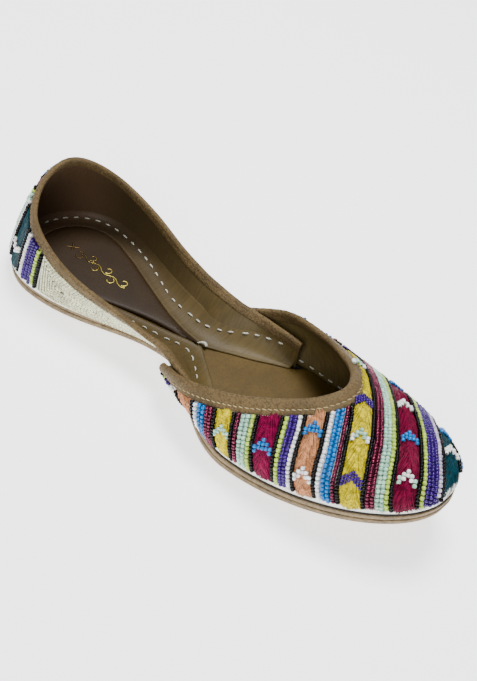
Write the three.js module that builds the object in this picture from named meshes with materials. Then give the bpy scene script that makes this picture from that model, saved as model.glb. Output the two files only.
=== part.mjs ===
// Mojari shoe, for the right foot: a flat leather sole, a two-piece upper and their bindings.
// Millimetres. +X runs to the toe, +Y to the inner side of the foot, +Z up; the sole stands on z = 0.
import * as THREE from 'three';

// ---- Driving sizes ----
const LENGTH = 255;
const OUTSOLE = 2.6;
const MIDSOLE = 2.4;
const INSOLE = 2.0;
const SOCK = 2.0;
const WALL = 2.0;
const BINDING = 2.5;
const BINDING_PROUD = 0.2;
const VAMP_BINDING_WIDTH = 6.6;
const QUARTER_BINDING_WIDTH = 5.6;
const GAP = 0.3;
const SEAM_GAP = 0.7;
const FOOT_GAP = 0.4;

// Middle of the finished shoe's box, measured from the footprint's own axes; it becomes the origin.
const BOX_MIDDLE = { x: -0.6, y: 1.96 };

// The toe curls up along a power curve and leans to the inner side.
const TOE_SPRING = 23.6;
const SPRING_START = 35;
const SPRING_POWER = 1.7;
const TOE_BEND = 5.6;

// Where the upper's foot meets the sole: half widths at three stations on each side, with the
// reach of the curve before and after each of them.
const FOOTPRINT = {
  outer: [
    { name: 'heel', x: -98, half: 32.1, before: 16.3, after: 32 },
    { name: 'waist', x: -21, half: 9.5, before: 27, after: 17 },
    { name: 'ball', x: 41, half: 39.6, before: 27, after: 44 },
  ],
  inner: [
    { name: 'heel', x: -98, half: 32.1, before: 16.3, after: 32 },
    { name: 'waist', x: -24, half: 13.5, before: 26, after: 10 },
    { name: 'ball', x: 39, half: 38, before: 39, after: 45 },
  ],
};
const HEEL_REACH = 17.7;
const TOE_REACH = { x: 2, y: 25.5 };

// Top line of the quarter: its height, and how far it stands inside the footprint on each side.
const TOP_LINE = [
  { x: -127.5, height: 56.8, outer: 13.4, inner: 13.4 },
  { x: -99.5, height: 41.3, outer: 3.5, inner: 3.7 },
  { x: -80, height: 34.0, outer: -2.2, inner: -1.8 },
  { x: -60, height: 28.8, outer: -8.0, inner: -7.3 },
  { x: -40, height: 26.2, outer: -14.2, inner: -13.0 },
  { x: -24, height: 25.0, outer: -17.2, inner: -15.0 },
  { x: -10, height: 24.0, outer: -14.8, inner: -8.1 },
  { x: 8, height: 23.2, outer: -5.7, inner: 1.1 },
  { x: 25, height: 22.6, outer: 3.8, inner: 6.4 },
];
const QUARTER_END = 23.5;

// Throat of the vamp, from its back corner to the middle of the front, and mirrored from there.
const THROAT = [
  { x: -10.5, outer: 31.6, inner: 33.0, z: 20.8 },
  { x: 8.9, outer: 37.2, inner: 37.6, z: 30.0 },
  { x: 31.5, outer: 32.2, inner: 32.2, z: 36.8 },
  { x: 50.5, outer: 21.5, inner: 21.5, z: 43.4 },
  { x: 60.6, outer: 12.2, inner: 12.2, z: 47.2 },
  { x: 65.2, outer: 0, inner: 0, z: 49.2 },
];
const VAMP_BACK = -10.5;

// Slopes of the vamp's sections, in degrees, from the middle of the toe (share 0) to the corners (1).
const VAMP_SLOPES = [
  { share: 0, lean: 15.7, dip: 18 },
  { share: 0.5, lean: 15.7, dip: 42 },
  { share: 0.72, lean: 22, dip: 57 },
  { share: 0.88, lean: 36, dip: 70 },
  { share: 1, lean: 48, dip: 88 },
];
const LEAN_REACH = 0.33;
const DIP_REACH = 0.48;

// The quarter's foot steps in where its ends lap inside the vamp, and its walls are crowned.
const QUARTER_SHAPE = [
  { x: -127.5, step: 0, crown: 0.035 },
  { x: -99, step: 0, crown: 0.035 },
  { x: -60, step: 0, crown: 0.02 },
  { x: -30, step: 0, crown: -0.02 },
  { x: -12, step: 6.1, crown: -0.05 },
  { x: 8, step: 5.0, crown: -0.02 },
  { x: 25, step: 4.6, crown: 0 },
];

// Margin between the footprint and the insole, and between the footprint and the heel sock.
const INSOLE_MARGIN = [
  { x: -127.5, margin: 3.0 },
  { x: -36, margin: 3.6 },
  { x: -14, margin: 8.8 },
  { x: 25, margin: 8.0 },
  { x: 36, margin: 3.4 },
  { x: 127.5, margin: 3.4 },
];
const SOCK_MARGIN = [
  { x: -127.5, margin: 9.4 },
  { x: -60, margin: 8.6 },
  { x: -24, margin: 8.4 },
  { x: -13, margin: 12.4 },
];
const SOCK_END = -13;

// ---- Fineness ----
const STEPS_PER_CURVE = 24;
const PLATE_STEPS = 50;
const QUARTER_STEPS = 64;
const QUARTER_ROWS = 6;
const VAMP_STEPS = 48;
const VAMP_ROWS = 8;

// ---- Heights of the layers ----
const HALF_LENGTH = LENGTH / 2;
const MIDSOLE_BASE = OUTSOLE + GAP;
const UPPER_BASE = MIDSOLE_BASE + MIDSOLE + FOOT_GAP;
const SOCK_BASE = UPPER_BASE + INSOLE + GAP;

const radians = THREE.MathUtils.degToRad;

/** Height that the curled toe adds at x. */
function spring(x) {
  const run = Math.max(0, x - SPRING_START) / (HALF_LENGTH - SPRING_START);
  return TOE_SPRING * run ** SPRING_POWER;
}

/** Sideways shift of the shoe's middle line at x. */
function bend(x) {
  return TOE_BEND * ((x + HALF_LENGTH) / LENGTH) ** 2;
}

/** Reads a column of a table at a place, along a curve that never overshoots its rows. */
function read(table, column, place, along = 'x') {
  const at = table.map((row) => row[along]);
  const value = table.map((row) => row[column]);
  const last = at.length - 1;
  const x = THREE.MathUtils.clamp(place, at[0], at[last]);
  const width = at.slice(1).map((right, i) => right - at[i]);
  const slope = width.map((w, i) => (value[i + 1] - value[i]) / w);
  const tangent = value.map((_, i) => {
    if (i === 0) return slope[0];
    if (i === last) return slope[last - 1];
    if (slope[i - 1] * slope[i] <= 0) return 0;
    const before = 2 * width[i] + width[i - 1];
    const after = width[i] + 2 * width[i - 1];
    return (before + after) / (before / slope[i - 1] + after / slope[i]);
  });
  const i = Math.max(0, at.findIndex((right) => x <= right) - 1);
  const t = (x - at[i]) / width[i];
  const start = value[i] * (1 + 2 * t) * (1 - t) ** 2 + tangent[i] * width[i] * t * (1 - t) ** 2;
  const end = value[i + 1] * (3 - 2 * t) * t ** 2 - tangent[i + 1] * width[i] * t ** 2 * (1 - t);
  return start + end;
}

/** The footprint's edge on one side (-1 outer, +1 inner), heel to toe, as plan points. */
function footprintSide(side) {
  const rows = FOOTPRINT[side < 0 ? 'outer' : 'inner'];
  const knots = [
    { x: -HALF_LENGTH, half: 0, out: [0, HEEL_REACH] },
    ...rows.map((row) => ({ x: row.x, half: row.half, into: [-row.before, 0], out: [row.after, 0] })),
    { x: HALF_LENGTH, half: 0, into: [TOE_REACH.x, TOE_REACH.y] },
  ];
  const points = [];
  knots.slice(1).forEach((end, i) => {
    const start = knots[i];
    const curve = new THREE.CubicBezierCurve(
      new THREE.Vector2(start.x, start.half),
      new THREE.Vector2(start.x + start.out[0], start.half + start.out[1]),
      new THREE.Vector2(end.x + end.into[0], end.half + end.into[1]),
      new THREE.Vector2(end.x, end.half),
    );
    points.push(...curve.getPoints(STEPS_PER_CURVE).slice(i === 0 ? 0 : 1));
  });
  return points.map((p) => new THREE.Vector2(Math.min(p.x, HALF_LENGTH), side * p.y + bend(p.x)));
}

/** Evenly spaced points along a line of 2D or 3D points. */
function space(line, steps) {
  const travelled = [0];
  line.slice(1).forEach((point, i) => travelled.push(travelled[i] + point.distanceTo(line[i])));
  const total = travelled[travelled.length - 1];
  return Array.from({ length: steps + 1 }, (_, k) => {
    const goal = (total * k) / steps;
    const i = Math.min(line.length - 2, Math.max(0, travelled.findIndex((d) => d >= goal) - 1));
    const share = (goal - travelled[i]) / (travelled[i + 1] - travelled[i]);
    return line[i].clone().lerp(line[i + 1], share);
  });
}

/** Part of a side line between two places along X, with exact ends. */
function cut(line, from, to) {
  const at = (x) => {
    const i = Math.max(0, line.findIndex((p) => p.x >= x) - 1);
    return line[i].clone().lerp(line[i + 1], (x - line[i].x) / (line[i + 1].x - line[i].x));
  };
  const middle = line.filter((p) => p.x > from + 0.01 && p.x < to - 0.01);
  const first = from > -HALF_LENGTH ? [at(from)] : [];
  const final = to < HALF_LENGTH ? [at(to)] : [line[line.length - 1].clone()];
  return [...first, ...middle, ...final];
}

/** Plan normals of a line, pointing to its left or right as turn says. */
function normals(line, turn) {
  return line.map((_, i) => {
    const ahead = line[Math.min(i + 1, line.length - 1)];
    const behind = line[Math.max(i - 1, 0)];
    const along = ahead.clone().sub(behind);
    return new THREE.Vector2(-along.y * turn, along.x * turn).normalize();
  });
}

/** Closed mesh through rings of equal size: rings are joined in order, and both ends are capped. */
function sweep(rings) {
  const size = rings[0].length;
  const index = [];
  const quad = (a, b, c, d) => index.push(a, b, c, a, c, d);
  for (let i = 0; i < rings.length - 1; i++) {
    for (let k = 0; k < size; k++) {
      const next = (k + 1) % size;
      quad(i * size + k, (i + 1) * size + k, (i + 1) * size + next, i * size + next);
    }
  }
  const last = (rings.length - 1) * size;
  for (let k = 0; k < size / 2 - 1; k++) {
    const across = size - 1 - k;
    quad(k, k + 1, across - 1, across);
    quad(last + across, last + across - 1, last + k + 1, last + k);
  }
  const corners = rings.flat();
  if (signedVolume(corners, index) < 0) index.reverse();
  const geometry = new THREE.BufferGeometry();
  geometry.setAttribute('position', new THREE.Float32BufferAttribute(corners.flatMap((p) => p.toArray()), 3));
  geometry.setIndex(index);
  geometry.computeVertexNormals();
  return geometry;
}

function signedVolume(corners, index) {
  let volume = 0;
  for (let i = 0; i < index.length; i += 3) {
    const [a, b, c] = [corners[index[i]], corners[index[i + 1]], corners[index[i + 2]]];
    volume += a.dot(b.clone().cross(c));
  }
  return volume;
}

/** A flat layer that follows the footprint and the toe's curl, with eased lower and upper edges. */
function layer({ base, thickness, margin, from = -HALF_LENGTH, to = HALF_LENGTH, ease = 0.6 }) {
  const sides = [-1, 1].map((side) => {
    const line = space(cut(footprintSide(side), from, to), PLATE_STEPS);
    return { line, out: normals(line, side) };
  });
  const rings = [];
  for (let i = 0; i <= PLATE_STEPS; i++) {
    const halves = sides.map(({ line, out }) => {
      const rows = [[ease, 0], [0, ease], [0, thickness - ease], [ease, thickness]];
      return rows.map(([inset, height]) => {
        const plan = line[i].clone().addScaledVector(out[i], -(margin(line[i].x) + inset));
        return new THREE.Vector3(plan.x, plan.y, base + height + spring(plan.x));
      });
    });
    rings.push([...halves[0], ...halves[1].reverse()]);
  }
  const widthOf = (ring) => ring[0].distanceTo(ring[ring.length - 1]);
  return sweep(rings.filter((ring) => widthOf(ring) > 1 && ring[0].y < ring[ring.length - 1].y));
}

/** A shell between two offsets of a surface, from row `low` to row `high` of each station. */
function shell(stations, { rows, low, high, outside, inside, crest = 0 }) {
  const surface = (i, v) => stations[THREE.MathUtils.clamp(i, 0, stations.length - 1)](v);
  const STEP = 0.01;
  const normalAt = (i, v) => {
    const along = surface(i + 1, v).sub(surface(i - 1, v));
    const up = surface(i, Math.min(1, v + STEP)).sub(surface(i, Math.max(0, v - STEP)));
    return along.cross(up).normalize();
  };
  const rings = stations.map((_, i) => {
    const bottom = low(i);
    const top = high(i);
    const places = Array.from({ length: rows + 1 }, (_, j) => bottom + ((top - bottom) * j) / rows);
    const face = (offset) => places.map((v) => {
      const normal = normalAt(i, v);
      const point = surface(i, v);
      if (v > 0) return point.addScaledVector(normal, offset);
      const level = new THREE.Vector3(normal.x, normal.y, 0);
      const lean = Math.max(level.length(), 0.5);
      return point.addScaledVector(level.normalize(), offset / lean);
    });
    const outer = face(outside);
    const inner = face(-inside);
    if (crest > 0) {
      const up = surface(i, top).sub(surface(i, top - STEP)).normalize().multiplyScalar(crest);
      const middle = outer[rows].clone().add(inner[rows]).multiplyScalar(0.5).add(up);
      outer.push(middle.clone().lerp(outer[rows], 0.4));
      inner.push(middle.clone().lerp(inner[rows], 0.4));
    }
    return [...outer, ...inner.reverse()];
  });
  return sweep(rings);
}

/** Stations of the quarter: sections from its foot to its top line, outer end round the heel to inner end. */
function quarterStations() {
  const half = (side) => {
    const line = space(cut(footprintSide(side), -HALF_LENGTH, QUARTER_END), QUARTER_STEPS / 2);
    const out = normals(line, side);
    const heel = FOOTPRINT.inner[0].x;
    return line.map((plan, i) => {
      const column = side < 0 ? 'outer' : 'inner';
      const step = read(QUARTER_SHAPE, 'step', plan.x);
      const foot2 = plan.clone().addScaledVector(out[i], -step);
      const foot = new THREE.Vector3(foot2.x, foot2.y, UPPER_BASE + spring(plan.x));
      const across = new THREE.Vector2(0, -side);
      const toHeel = new THREE.Vector2(heel - plan.x, -plan.y).normalize();
      const roundHeel = THREE.MathUtils.clamp((heel - plan.x) / 10, 0, 1);
      const inward = across.lerp(toHeel, roundHeel).normalize();
      const top2 = plan.clone().addScaledVector(inward, read(TOP_LINE, column, plan.x));
      const top = new THREE.Vector3(top2.x, top2.y, read(TOP_LINE, 'height', plan.x));
      const rise = top.clone().sub(foot);
      const out3 = new THREE.Vector3(out[i].x, out[i].y, 0);
      const swell = out3.addScaledVector(rise, -out3.dot(rise) / rise.lengthSq()).normalize();
      const crown = 4 * rise.length() * read(QUARTER_SHAPE, 'crown', plan.x);
      const section = (v) => foot.clone().addScaledVector(rise, v).addScaledVector(swell, crown * v * (1 - v));
      section.height = rise.length();
      return section;
    });
  };
  return [...half(-1).reverse(), ...half(1).slice(1)];
}

/** Stations of the vamp: sections from its foot to the throat, outer corner round the toe to inner corner. */
function vampStations() {
  const sides = [-1, 1].map((side) => cut(footprintSide(side), VAMP_BACK, HALF_LENGTH));
  const foot = space([...sides[0], ...sides[1].reverse().slice(1)], VAMP_STEPS);
  const footOut = normals(foot, -1);
  const corners = [-1, 1].map((side) => THROAT.map((row) => (
    new THREE.Vector3(row.x, side * row[side < 0 ? 'outer' : 'inner'] + bend(row.x), row.z))));
  const throatCurve = new THREE.CatmullRomCurve3([...corners[0], ...corners[1].reverse().slice(1)], false);
  const throat = throatCurve.getSpacedPoints(VAMP_STEPS);
  const throatOut = normals(throat.map((p) => new THREE.Vector2(p.x, p.y)), -1);
  return foot.map((plan, i) => {
    const start = new THREE.Vector3(plan.x, plan.y, UPPER_BASE + spring(plan.x));
    const share = Math.abs((2 * i) / VAMP_STEPS - 1);
    const lean = radians(read(VAMP_SLOPES, 'lean', share, 'share'));
    const dip = radians(read(VAMP_SLOPES, 'dip', share, 'share'));
    const reach = start.distanceTo(throat[i]);
    const out = footOut[i];
    const down = throatOut[i];
    const leaning = new THREE.Vector3(out.x * Math.sin(lean), out.y * Math.sin(lean), Math.cos(lean));
    const dipping = new THREE.Vector3(down.x * Math.cos(dip), down.y * Math.cos(dip), -Math.sin(dip));
    const curve = new THREE.CubicBezierCurve3(
      start,
      start.clone().addScaledVector(leaning, reach * LEAN_REACH),
      throat[i].clone().addScaledVector(dipping, reach * DIP_REACH),
      throat[i],
    );
    const section = (v) => curve.getPoint(v);
    section.height = curve.getLength();
    return section;
  });
}

/** A wall and the folded binding along its top edge. */
function wallAndBinding(stations, rows, bindingWidth) {
  const seam = (i) => 1 - bindingWidth / stations[i].height;
  const split = (i) => SEAM_GAP / stations[i].height;
  return {
    wall: shell(stations, { rows, low: () => 0, high: (i) => seam(i) - split(i), outside: 0, inside: WALL }),
    binding: shell(stations, {
      rows: 2, low: seam, high: () => 0.985, outside: BINDING_PROUD, inside: BINDING - BINDING_PROUD, crest: 0.5,
    }),
  };
}

const FINISHES = {
  sole: { color: 0xa58a66, roughness: 0.75 },
  insole: { color: 0x8a6f3f, roughness: 0.6 },
  sock: { color: 0x5f4526, roughness: 0.5 },
  embroidery: { color: 0xe8e6df, roughness: 0.8 },
  binding: { color: 0x8f6d4a, roughness: 0.6 },
};

function piece(name, geometry, finish) {
  const material = new THREE.MeshStandardMaterial({ ...FINISHES[finish], metalness: 0 });
  const mesh = new THREE.Mesh(geometry, material);
  mesh.name = name;
  return mesh;
}

// ---- The shoe ----
const quarter = wallAndBinding(quarterStations(), QUARTER_ROWS, QUARTER_BINDING_WIDTH);
const vamp = wallAndBinding(vampStations(), VAMP_ROWS, VAMP_BINDING_WIDTH);

const shoe = new THREE.Group();
shoe.position.set(-BOX_MIDDLE.x, -BOX_MIDDLE.y, 0);
shoe.add(
  piece('outsole', layer({ base: 0, thickness: OUTSOLE, margin: () => -1.2 }), 'sole'),
  piece('midsole', layer({ base: MIDSOLE_BASE, thickness: MIDSOLE, margin: () => -1.0 }), 'sole'),
  piece('insole', layer({
    base: UPPER_BASE, thickness: INSOLE, margin: (x) => read(INSOLE_MARGIN, 'margin', x), ease: 0.3,
  }), 'insole'),
  piece('heel_sock', layer({
    base: SOCK_BASE, thickness: SOCK, margin: (x) => read(SOCK_MARGIN, 'margin', x), to: SOCK_END,
  }), 'sock'),
  piece('quarter', quarter.wall, 'embroidery'),
  piece('quarter_binding', quarter.binding, 'binding'),
  piece('vamp', vamp.wall, 'embroidery'),
  piece('vamp_binding', vamp.binding, 'binding'),
);

export default shoe;
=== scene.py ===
"""Looks of a beaded mojari shoe for the right foot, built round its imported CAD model.

Shapes are worked out in millimetres on the footprint's own axes: +X to the toe, +Y to the inner side,
+Z up. make_piece() turns them into metres in the row frame.
"""

import math

import bpy
import numpy as np
from mathutils import Matrix


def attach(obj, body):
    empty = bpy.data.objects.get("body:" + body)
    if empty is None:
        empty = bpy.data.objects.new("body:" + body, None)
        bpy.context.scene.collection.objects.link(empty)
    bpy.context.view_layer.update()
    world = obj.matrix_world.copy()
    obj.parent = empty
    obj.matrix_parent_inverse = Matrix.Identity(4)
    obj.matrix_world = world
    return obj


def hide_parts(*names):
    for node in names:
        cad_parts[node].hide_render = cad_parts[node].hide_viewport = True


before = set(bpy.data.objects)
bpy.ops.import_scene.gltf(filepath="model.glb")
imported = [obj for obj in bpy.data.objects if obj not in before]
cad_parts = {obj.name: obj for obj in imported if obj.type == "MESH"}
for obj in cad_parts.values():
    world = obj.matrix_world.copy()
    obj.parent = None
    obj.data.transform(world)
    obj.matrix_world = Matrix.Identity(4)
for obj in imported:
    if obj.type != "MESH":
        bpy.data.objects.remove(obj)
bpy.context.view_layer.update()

# ---- Driving sizes, as in the CAD ----
LENGTH = 255.0
HALF_LENGTH = LENGTH / 2
OUTSOLE = 2.6
MIDSOLE = 2.4
INSOLE = 2.0
SOCK = 2.0
WALL = 2.0
VAMP_BINDING_WIDTH = 6.6
QUARTER_BINDING_WIDTH = 5.6
GAP = 0.3
FOOT_GAP = 0.4
BOX_MIDDLE = np.array([-0.6, 1.96, 0.0])
MIDSOLE_BASE = OUTSOLE + GAP
UPPER_BASE = MIDSOLE_BASE + MIDSOLE + FOOT_GAP
INSOLE_TOP = UPPER_BASE + INSOLE
SOCK_BASE = INSOLE_TOP + GAP
SOCK_TOP = SOCK_BASE + SOCK

TOE_SPRING = 23.6
SPRING_START = 35.0
SPRING_POWER = 1.7
TOE_BEND = 5.6

# Stations of the footprint's edge: x, half width, reach of the curve before it, and after it.
FOOTPRINT = {
    -1: [(-98, 32.1, 16.3, 32), (-21, 9.5, 27, 17), (41, 39.6, 27, 44)],
    1: [(-98, 32.1, 16.3, 32), (-24, 13.5, 26, 10), (39, 38.0, 39, 45)],
}
HEEL_REACH = 17.7
TOE_REACH = (2.0, 25.5)
HEEL_X = -98.0
HEEL_TURN = 10.0

# Top line of the quarter: x, height, inset on the outer side, inset on the inner side.
TOP_LINE = [
    (-127.5, 56.8, 13.4, 13.4),
    (-99.5, 41.3, 3.5, 3.7),
    (-80, 34.0, -2.2, -1.8),
    (-60, 28.8, -8.0, -7.3),
    (-40, 26.2, -14.2, -13.0),
    (-24, 25.0, -17.2, -15.0),
    (-10, 24.0, -14.8, -8.1),
    (8, 23.2, -5.7, 1.1),
    (25, 22.6, 3.8, 6.4),
]
QUARTER_END = 23.5
# The quarter's foot steps in under the vamp, and its wall is crowned: x, step, crown.
QUARTER_SHAPE = [
    (-127.5, 0, 0.035),
    (-99, 0, 0.035),
    (-60, 0, 0.02),
    (-30, 0, -0.02),
    (-12, 6.1, -0.05),
    (8, 5.0, -0.02),
    (25, 4.6, 0),
]

# Throat of the vamp: x, distance from the middle line on the outer side and the inner side, height.
THROAT = [
    (-10.5, 31.6, 33.0, 20.8),
    (8.9, 37.2, 37.6, 30.0),
    (31.5, 32.2, 32.2, 36.8),
    (50.5, 21.5, 21.5, 43.4),
    (60.6, 12.2, 12.2, 47.2),
    (65.2, 0, 0, 49.2),
]
VAMP_BACK = -10.5
# Slopes of the vamp's sections in degrees: share of the way to a corner, lean at the foot, dip at the top.
VAMP_SLOPES = [
    (0, 15.7, 18),
    (0.5, 15.7, 42),
    (0.72, 22, 57),
    (0.88, 36, 70),
    (1, 48, 88),
]
LEAN_REACH = 0.33
DIP_REACH = 0.48

INSOLE_SPREAD = [(-127.5, 3.0), (-36, 3.6), (-14, 8.8), (22.5, 8.0), (30.0, 2.6), (127.5, 2.6)]
SOCK_MARGIN = [(-127.5, 9.4), (-60, 8.6), (-24, 8.4), (-13, 12.4)]
SOCK_END = -13.0

# ---- Fineness ----
STEPS_PER_CURVE = 80
PLATE_STEPS = 220
QUARTER_STEPS = 420
QUARTER_ROWS = 48
VAMP_STEPS = 480
VAMP_ROWS = 110

# ---- Camera and light ----
CAMERA_PLACE = (203.731, -349.255, 409.277)
CAMERA_RIGHT = (0.73323, 0.64446, 0.21690)
CAMERA_UP = (-0.57934, 0.42507, 0.69548)
CAMERA_BACK = (0.35601, -0.63560, 0.68503)
CAMERA_LENS = 62.10

dice = np.random.default_rng(27)


# ======================= Curves and lines =======================

def smooth_table(rows, column=1):
    """A curve through a column of a table that never overshoots its rows."""
    at = np.array([row[0] for row in rows], float)
    value = np.array([row[column] for row in rows], float)
    width = np.diff(at)
    slope = np.diff(value) / width
    tangent = np.zeros(len(at))
    tangent[0] = slope[0]
    tangent[-1] = slope[-1]
    for i in range(1, len(at) - 1):
        if slope[i - 1] * slope[i] > 0:
            before = 2 * width[i] + width[i - 1]
            after = width[i] + 2 * width[i - 1]
            tangent[i] = (before + after) / (before / slope[i - 1] + after / slope[i])

    def read(place):
        x = np.clip(place, at[0], at[-1])
        i = np.clip(np.searchsorted(at, x) - 1, 0, len(width) - 1)
        t = (x - at[i]) / width[i]
        start = value[i] * (1 + 2 * t) * (1 - t) ** 2 + tangent[i] * width[i] * t * (1 - t) ** 2
        end = value[i + 1] * (3 - 2 * t) * t**2 - tangent[i + 1] * width[i] * t**2 * (1 - t)
        return start + end

    return read


def spring(x):
    """Height that the curled toe adds at x."""
    run = np.maximum(0, x - SPRING_START) / (HALF_LENGTH - SPRING_START)
    return TOE_SPRING * run**SPRING_POWER


def bend(x):
    """Sideways shift of the shoe's middle line at x."""
    return TOE_BEND * ((x + HALF_LENGTH) / LENGTH) ** 2


def unit(vectors):
    """Vectors of length 1."""
    return vectors / np.maximum(np.linalg.norm(vectors, axis=-1, keepdims=True), 1e-9)


def bezier(a, b, c, d, t):
    """Points of a cubic Bezier curve at t."""
    t = np.asarray(t)[..., None]
    return (1 - t) ** 3 * a + 3 * t * (1 - t) ** 2 * b + 3 * t**2 * (1 - t) * c + t**3 * d


def travelled(line):
    """Distance along a line of points, at each of them."""
    return np.concatenate([[0], np.cumsum(np.linalg.norm(np.diff(line, axis=0), axis=1))])


def along_line(line, at, goals):
    """Points of a line where the measure `at` reaches each goal."""
    return np.stack([np.interp(goals, at, line[:, k]) for k in range(line.shape[1])], axis=1)


def space(line, steps):
    """Evenly spaced points along a line."""
    at = travelled(line)
    return along_line(line, at, np.linspace(0, at[-1], steps + 1))


def footprint_side(side):
    """The footprint's edge on one side (-1 outer, +1 inner), heel to toe, as plan points."""
    knots = [((-HALF_LENGTH, 0), None, (0, HEEL_REACH))]
    for x, half, before, after in FOOTPRINT[side]:
        knots.append(((x, half), (-before, 0), (after, 0)))
    knots.append(((HALF_LENGTH, 0), TOE_REACH, None))
    t = np.linspace(0, 1, STEPS_PER_CURVE + 1)
    parts = []
    for (start, _, leave), (end, arrive, _) in zip(knots[:-1], knots[1:]):
        start, end = np.array(start, float), np.array(end, float)
        curve = bezier(start, start + leave, end + arrive, end, t)
        parts.append(curve if not parts else curve[1:])
    points = np.vstack(parts)
    x = np.minimum(points[:, 0], HALF_LENGTH)
    return np.stack([x, side * points[:, 1] + bend(x)], axis=1)


def cut(line, start, end):
    """Part of a side line between two places along X, with exact ends."""
    i = int(np.argmax(line[:, 0]))
    rising = line[: i + 1] if end >= HALF_LENGTH else line[: int(np.argmax(line[:, 0] >= end)) + 1]
    middle = rising[(rising[:, 0] > start + 0.01) & (rising[:, 0] < end - 0.01)]
    ends = [[x, np.interp(x, rising[:, 0], rising[:, 1])] for x in (start, end)]
    first = np.array([ends[0]]) if start > -HALF_LENGTH else line[:1]
    final = np.array([ends[1]]) if end < HALF_LENGTH else line[-1:]
    tail = line[i + 1 : -1] if end >= HALF_LENGTH else line[:0]
    return np.vstack([first, middle, tail, final])


def plan_normals(line, turn):
    """Plan normals of a line, pointing to its left or right as turn says."""
    last = len(line) - 1
    ahead = line[np.minimum(np.arange(len(line)) + 1, last)]
    behind = line[np.maximum(np.arange(len(line)) - 1, 0)]
    along = ahead - behind
    return unit(np.stack([-along[:, 1] * turn, along[:, 0] * turn], axis=1))


def through(points, steps):
    """Evenly spaced points of a centripetal Catmull-Rom curve through the given ones."""
    first = 2 * points[0] - points[1]
    final = 2 * points[-1] - points[-2]
    row = np.vstack([first, points, final])
    t = np.linspace(0, 1, 60)[:, None]
    parts = []
    for i in range(1, len(row) - 2):
        before, start, end, after = row[i - 1 : i + 3]
        gap0 = math.sqrt(np.linalg.norm(start - before))
        gap1 = math.sqrt(np.linalg.norm(end - start))
        gap2 = math.sqrt(np.linalg.norm(after - end))
        leave = (start - before) / gap0 - (end - before) / (gap0 + gap1) + (end - start) / gap1
        arrive = (end - start) / gap1 - (after - start) / (gap1 + gap2) + (after - end) / gap2
        leave, arrive = leave * gap1, arrive * gap1
        square = -3 * start + 3 * end - 2 * leave - arrive
        cube = 2 * start - 2 * end + leave + arrive
        parts.append(start + leave * t + square * t**2 + cube * t**3)
    return space(np.vstack(parts), steps)


# ======================= Walls =======================

class Wall:
    """A wall's surface as a grid of points: stations along it, and rows from its foot (0) to its top (1)."""

    def __init__(self, points, turn, face):
        self.points = points
        self.face = face
        normal = np.cross(np.gradient(points, axis=0), np.gradient(points, axis=1)) * turn
        self.normals = unit(normal)
        rise = np.linalg.norm(np.diff(points, axis=1), axis=2)
        self.climb = np.concatenate([np.zeros((len(points), 1)), np.cumsum(rise, axis=1)], axis=1)
        self.height = self.climb[:, -1]
        self.stations = len(points)
        self.rows = points.shape[1]
        foot_line = points[:, 0, :2]
        self.run = travelled(foot_line)

    def read(self, grid, station, row):
        """A grid's values at places between its points."""
        s = np.clip(station, 0, self.stations - 1.001)
        r = np.clip(row, 0, 1) * (self.rows - 1)
        r = np.minimum(r, self.rows - 1.001)
        i, j = s.astype(int), r.astype(int)
        a, b = s - i, r - j
        if grid.ndim == 3:
            a, b = a[..., None], b[..., None]
        low = grid[i, j] * (1 - b) + grid[i, j + 1] * b
        high = grid[i + 1, j] * (1 - b) + grid[i + 1, j + 1] * b
        return low * (1 - a) + high * a

    def normal(self, station, row):
        return unit(self.read(self.normals, station, row))

    def at(self, station, row, proud=0.0):
        """Points that stand proud of the wall's outer face by a distance."""
        station = np.asarray(station, float)
        row = np.asarray(row, float)
        lift = np.asarray(proud + self.face)[..., None]
        point = self.read(self.points, station, row) + self.normal(station, row) * lift
        over = np.maximum(row - 1, 0)[..., None]
        top = np.ones_like(row)
        up = unit(self.read(self.points, station, top) - self.read(self.points, station, top - 0.03))
        reach = np.interp(station, np.arange(self.stations), self.height)[..., None]
        point = point + up * over * reach
        floor = UPPER_BASE + spring(point[..., 0])
        point[..., 2] = np.maximum(point[..., 2], floor)
        return point

    def row_at(self, station, climb):
        """The row of a place that is a distance up the wall."""
        height = np.interp(station, np.arange(self.stations), self.height)
        return climb / height


def quarter_wall():
    """The quarter, from its outer end round the heel to its inner end."""
    height = smooth_table(TOP_LINE, 1)
    step = smooth_table(QUARTER_SHAPE, 1)
    crown = smooth_table(QUARTER_SHAPE, 2)
    v = np.linspace(0, 1, QUARTER_ROWS + 1)[None, :, None]
    halves = []
    for side in (-1, 1):
        plan = space(cut(footprint_side(side), -HALF_LENGTH, QUARTER_END), QUARTER_STEPS // 2)
        out = plan_normals(plan, side)
        x = plan[:, 0]
        foot = plan - out * step(x)[:, None]
        foot = np.column_stack([foot, UPPER_BASE + spring(x)])
        across = np.tile([0.0, -side], (len(x), 1))
        to_heel = unit(np.column_stack([HEEL_X - x, -plan[:, 1]]))
        turn = np.clip((HEEL_X - x) / HEEL_TURN, 0, 1)[:, None]
        inward = unit(across * (1 - turn) + to_heel * turn)
        inset = smooth_table(TOP_LINE, 2 if side < 0 else 3)(x)
        top = np.column_stack([plan + inward * inset[:, None], height(x)])
        rise = top - foot
        out3 = np.column_stack([out, np.zeros(len(x))])
        share = (out3 * rise).sum(1) / (rise**2).sum(1)
        swell = unit(out3 - rise * share[:, None])
        bulge = 4 * np.linalg.norm(rise, axis=1) * crown(x)
        straight = foot[:, None] + rise[:, None] * v
        halves.append(straight + (swell * bulge[:, None])[:, None] * v * (1 - v))
    return Wall(np.vstack([halves[0][::-1], halves[1][1:]]), turn=-1, face=WALL)


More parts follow.
